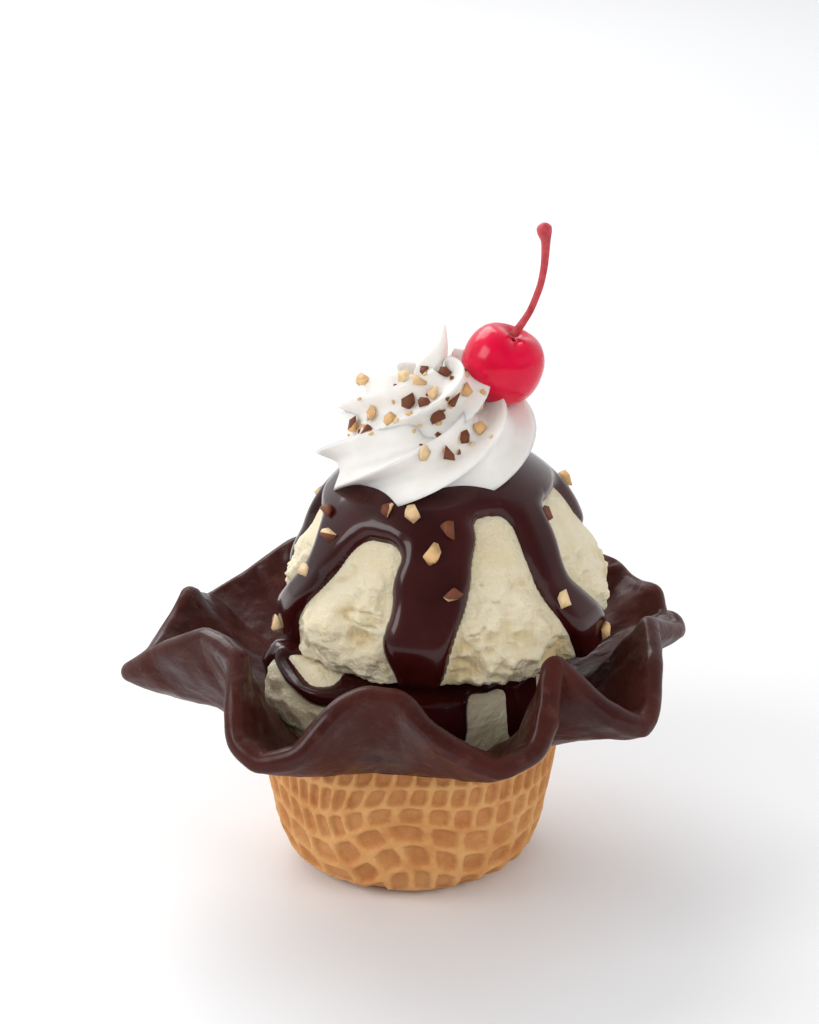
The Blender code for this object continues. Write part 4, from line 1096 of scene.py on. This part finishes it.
cream_hits, cream_outs = nearest_surface(swirl, start, aim)
whole_sizes = rng.uniform(0.9, 1.2, len(cream_hits))
crumb_sizes = rng.uniform(0.25, 0.5, len(cream_hits))
chip_sizes = np.where(np.arange(len(cream_hits)) < len(CREAM_NUTS), whole_sizes, crumb_sizes)
cream_places = [place + 0.6 * size * out for place, size, out in zip(cream_hits, chip_sizes, cream_outs)]
cream_nuts = scatter_chips("nuts_on_cream", cream_places, cream_outs, chip_sizes, rng, CREAM_SKINNED)

# %% [markdown]
# ## Nut meat and skin
# A broken face is cream or gold, and a face that was outside keeps its dark, papery skin. The
# two numbers marked on each face choose between them, and a fine noise frays the border.

# %% Nut finish
NUT_PALE, NUT_GOLD, NUT_SKIN = (0.80, 0.63, 0.38), (0.70, 0.40, 0.16), (0.17, 0.05, 0.022)
nut = Finish("chopped nut", Subsurface_Weight=0.12, Subsurface_Radius=(0.003, 0.002, 0.001),
             Subsurface_Scale=0.3, Specular_IOR_Level=0.4)
meal = nut.noise(900, 3, 0.6)
kernel_tone = nut.mix((nut.attribute("tint") * 0.8 + meal * 0.3).clamp(), NUT_PALE, NUT_GOLD)
skinned = (nut.attribute("skin") + (meal - 0.5) * 0.7).ramp(0.3, 0.6)
nut.set("Base Color", nut.mix(skinned, kernel_tone, NUT_SKIN))
nut.set("Roughness", 0.45 + 0.25 * meal)
nut.bump(meal * 1.0 + nut.cells(800) * 0.5, 0.35, 0.0005)
nut.wear(fudge_nuts, "fudge_cap")
nut.wear(cream_nuts, "whipped_cream")

# %% [markdown]
# ## Studio
# The sundae stands on a plain pale floor in bright, soft light that comes mostly from above
# and behind, so wet fudge and chocolate show long soft highlights and the cream keeps its
# shape. Two fills lighten the front, and wet surfaces don't mirror them.

# %% Floor and lights
FLOOR_HALF, FLOOR_HEIGHT = 3000.0, -0.05
FLOOR_GREY, FLOOR_PALE = (0.84, 0.84, 0.845), (0.87, 0.87, 0.875)
DAYLIGHT, WARM = (1.0, 1.0, 1.0), (1.0, 0.985, 0.965)
# Lights, in metres and watts: name, place, height aimed at, size, power, colour, mirrored or not.
LIGHTS = (("back_window", (-0.5, 0.9, 0.95), 0.07, (1.1, 0.8), 11.5, (1.0, 0.99, 0.98), True),
          ("left_window", (-0.95, -0.35, 0.7), 0.07, (0.6, 0.6), 5.5, DAYLIGHT, True),
          ("right_fill", (0.9, -0.6, 0.6), 0.07, (0.6, 0.6), 4.5, WARM, False),
          ("front_fill", (-0.35, -1.4, 0.9), 0.06, (1.6, 1.0), 8.5, WARM, False))


def add_floor():
    """A wide flat square under the sundae."""
    corners = [(x * FLOOR_HALF, y * FLOOR_HALF, FLOOR_HEIGHT)
               for x, y in ((-1, -1), (1, -1), (1, 1), (-1, 1))]
    floor = make_mesh("floor", corners, [(0, 1, 2, 3)], smooth=False)
    pale = Finish("pale floor", Roughness=0.45, Specular_IOR_Level=0.3)
    cloud = pale.noise(3, 2, 0.5)
    pale.set("Base Color", pale.mix(cloud, FLOOR_GREY, FLOOR_PALE))
    floor.data.materials.append(pale.material)


def add_panel(name, place, aim_height, size, power, colour, mirrored):
    """A soft rectangular light that faces a point over the middle; wet surfaces mirror it or not."""
    data = bpy.data.lights.new(name, "AREA")
    data.shape, data.size, data.size_y = "RECTANGLE", size[0], size[1]
    data.energy, data.color = power, colour
    lamp = bpy.data.objects.new(name, data)
    lamp.location = place
    x, y, z = np.array((0.0, 0.0, aim_height)) - np.array(place)
    lamp.rotation_euler = (math.atan2(math.hypot(x, y), -z), 0, math.atan2(y, x) - math.pi / 2)
    lamp.visible_glossy = mirrored
    bpy.context.scene.collection.objects.link(lamp)


add_floor()
for light in LIGHTS:
    add_panel(*light)

# %% [markdown]
# ## Sky
# Light also comes from all round. The sky is brighter behind the sundae and a little at both
# sides, so the wet edges there catch it, and it is dim in front.

# %% Sky
SKY_COLOUR = (0.96, 0.975, 1.0, 1.0)
world = bpy.data.worlds.new("studio")
world.use_nodes = True
sky_tree = world.node_tree
way_in = sky_tree.nodes.new("ShaderNodeTexCoord")
split = sky_tree.nodes.new("ShaderNodeSeparateXYZ")
sky_tree.links.new(way_in.outputs["Generated"], split.inputs[0])
behind = Val(sky_tree, split.outputs["Y"]).ramp(-0.35, 0.75)
across = Val(sky_tree, split.outputs["X"])
sideways = across.math("ABSOLUTE", across).ramp(0.45, 1.0)
glow = 0.2 + behind * 0.75 + sideways * 0.15
sky_tree.links.new(glow.socket, sky_tree.nodes["Background"].inputs["Strength"])
sky_tree.nodes["Background"].inputs["Color"].default_value = SKY_COLOUR
bpy.context.scene.world = world

# %% [markdown]
# ## Camera
# The camera looks down by about twenty degrees with a long lens from 0.6 m away. Its focal length
# is known in pixels of the picture's height, so we turn it into millimetres of a 36 mm sensor.

# %% Camera
FOCAL_PIXELS, PITCH, DISTANCE, TARGET_HEIGHT = 2700.0, math.radians(21.5), 621.0, 86.0
FRAME_HEIGHT, SENSOR = 1024, 36.0
lens = bpy.data.cameras.new("camera")
lens.sensor_width, lens.lens, lens.clip_start = SENSOR, SENSOR * FOCAL_PIXELS / FRAME_HEIGHT, 0.01
camera = bpy.data.objects.new("camera", lens)
camera.location = (0, -DISTANCE * math.cos(PITCH) * MM, (TARGET_HEIGHT + DISTANCE * math.sin(PITCH)) * MM)
camera.rotation_euler = (math.pi / 2 - PITCH, 0, 0)
bpy.context.scene.collection.objects.link(camera)
bpy.context.scene.camera = camera
bpy.context.scene.view_settings.view_transform = "Standard"
print("camera", tuple(camera.location), "lens", lens.lens)
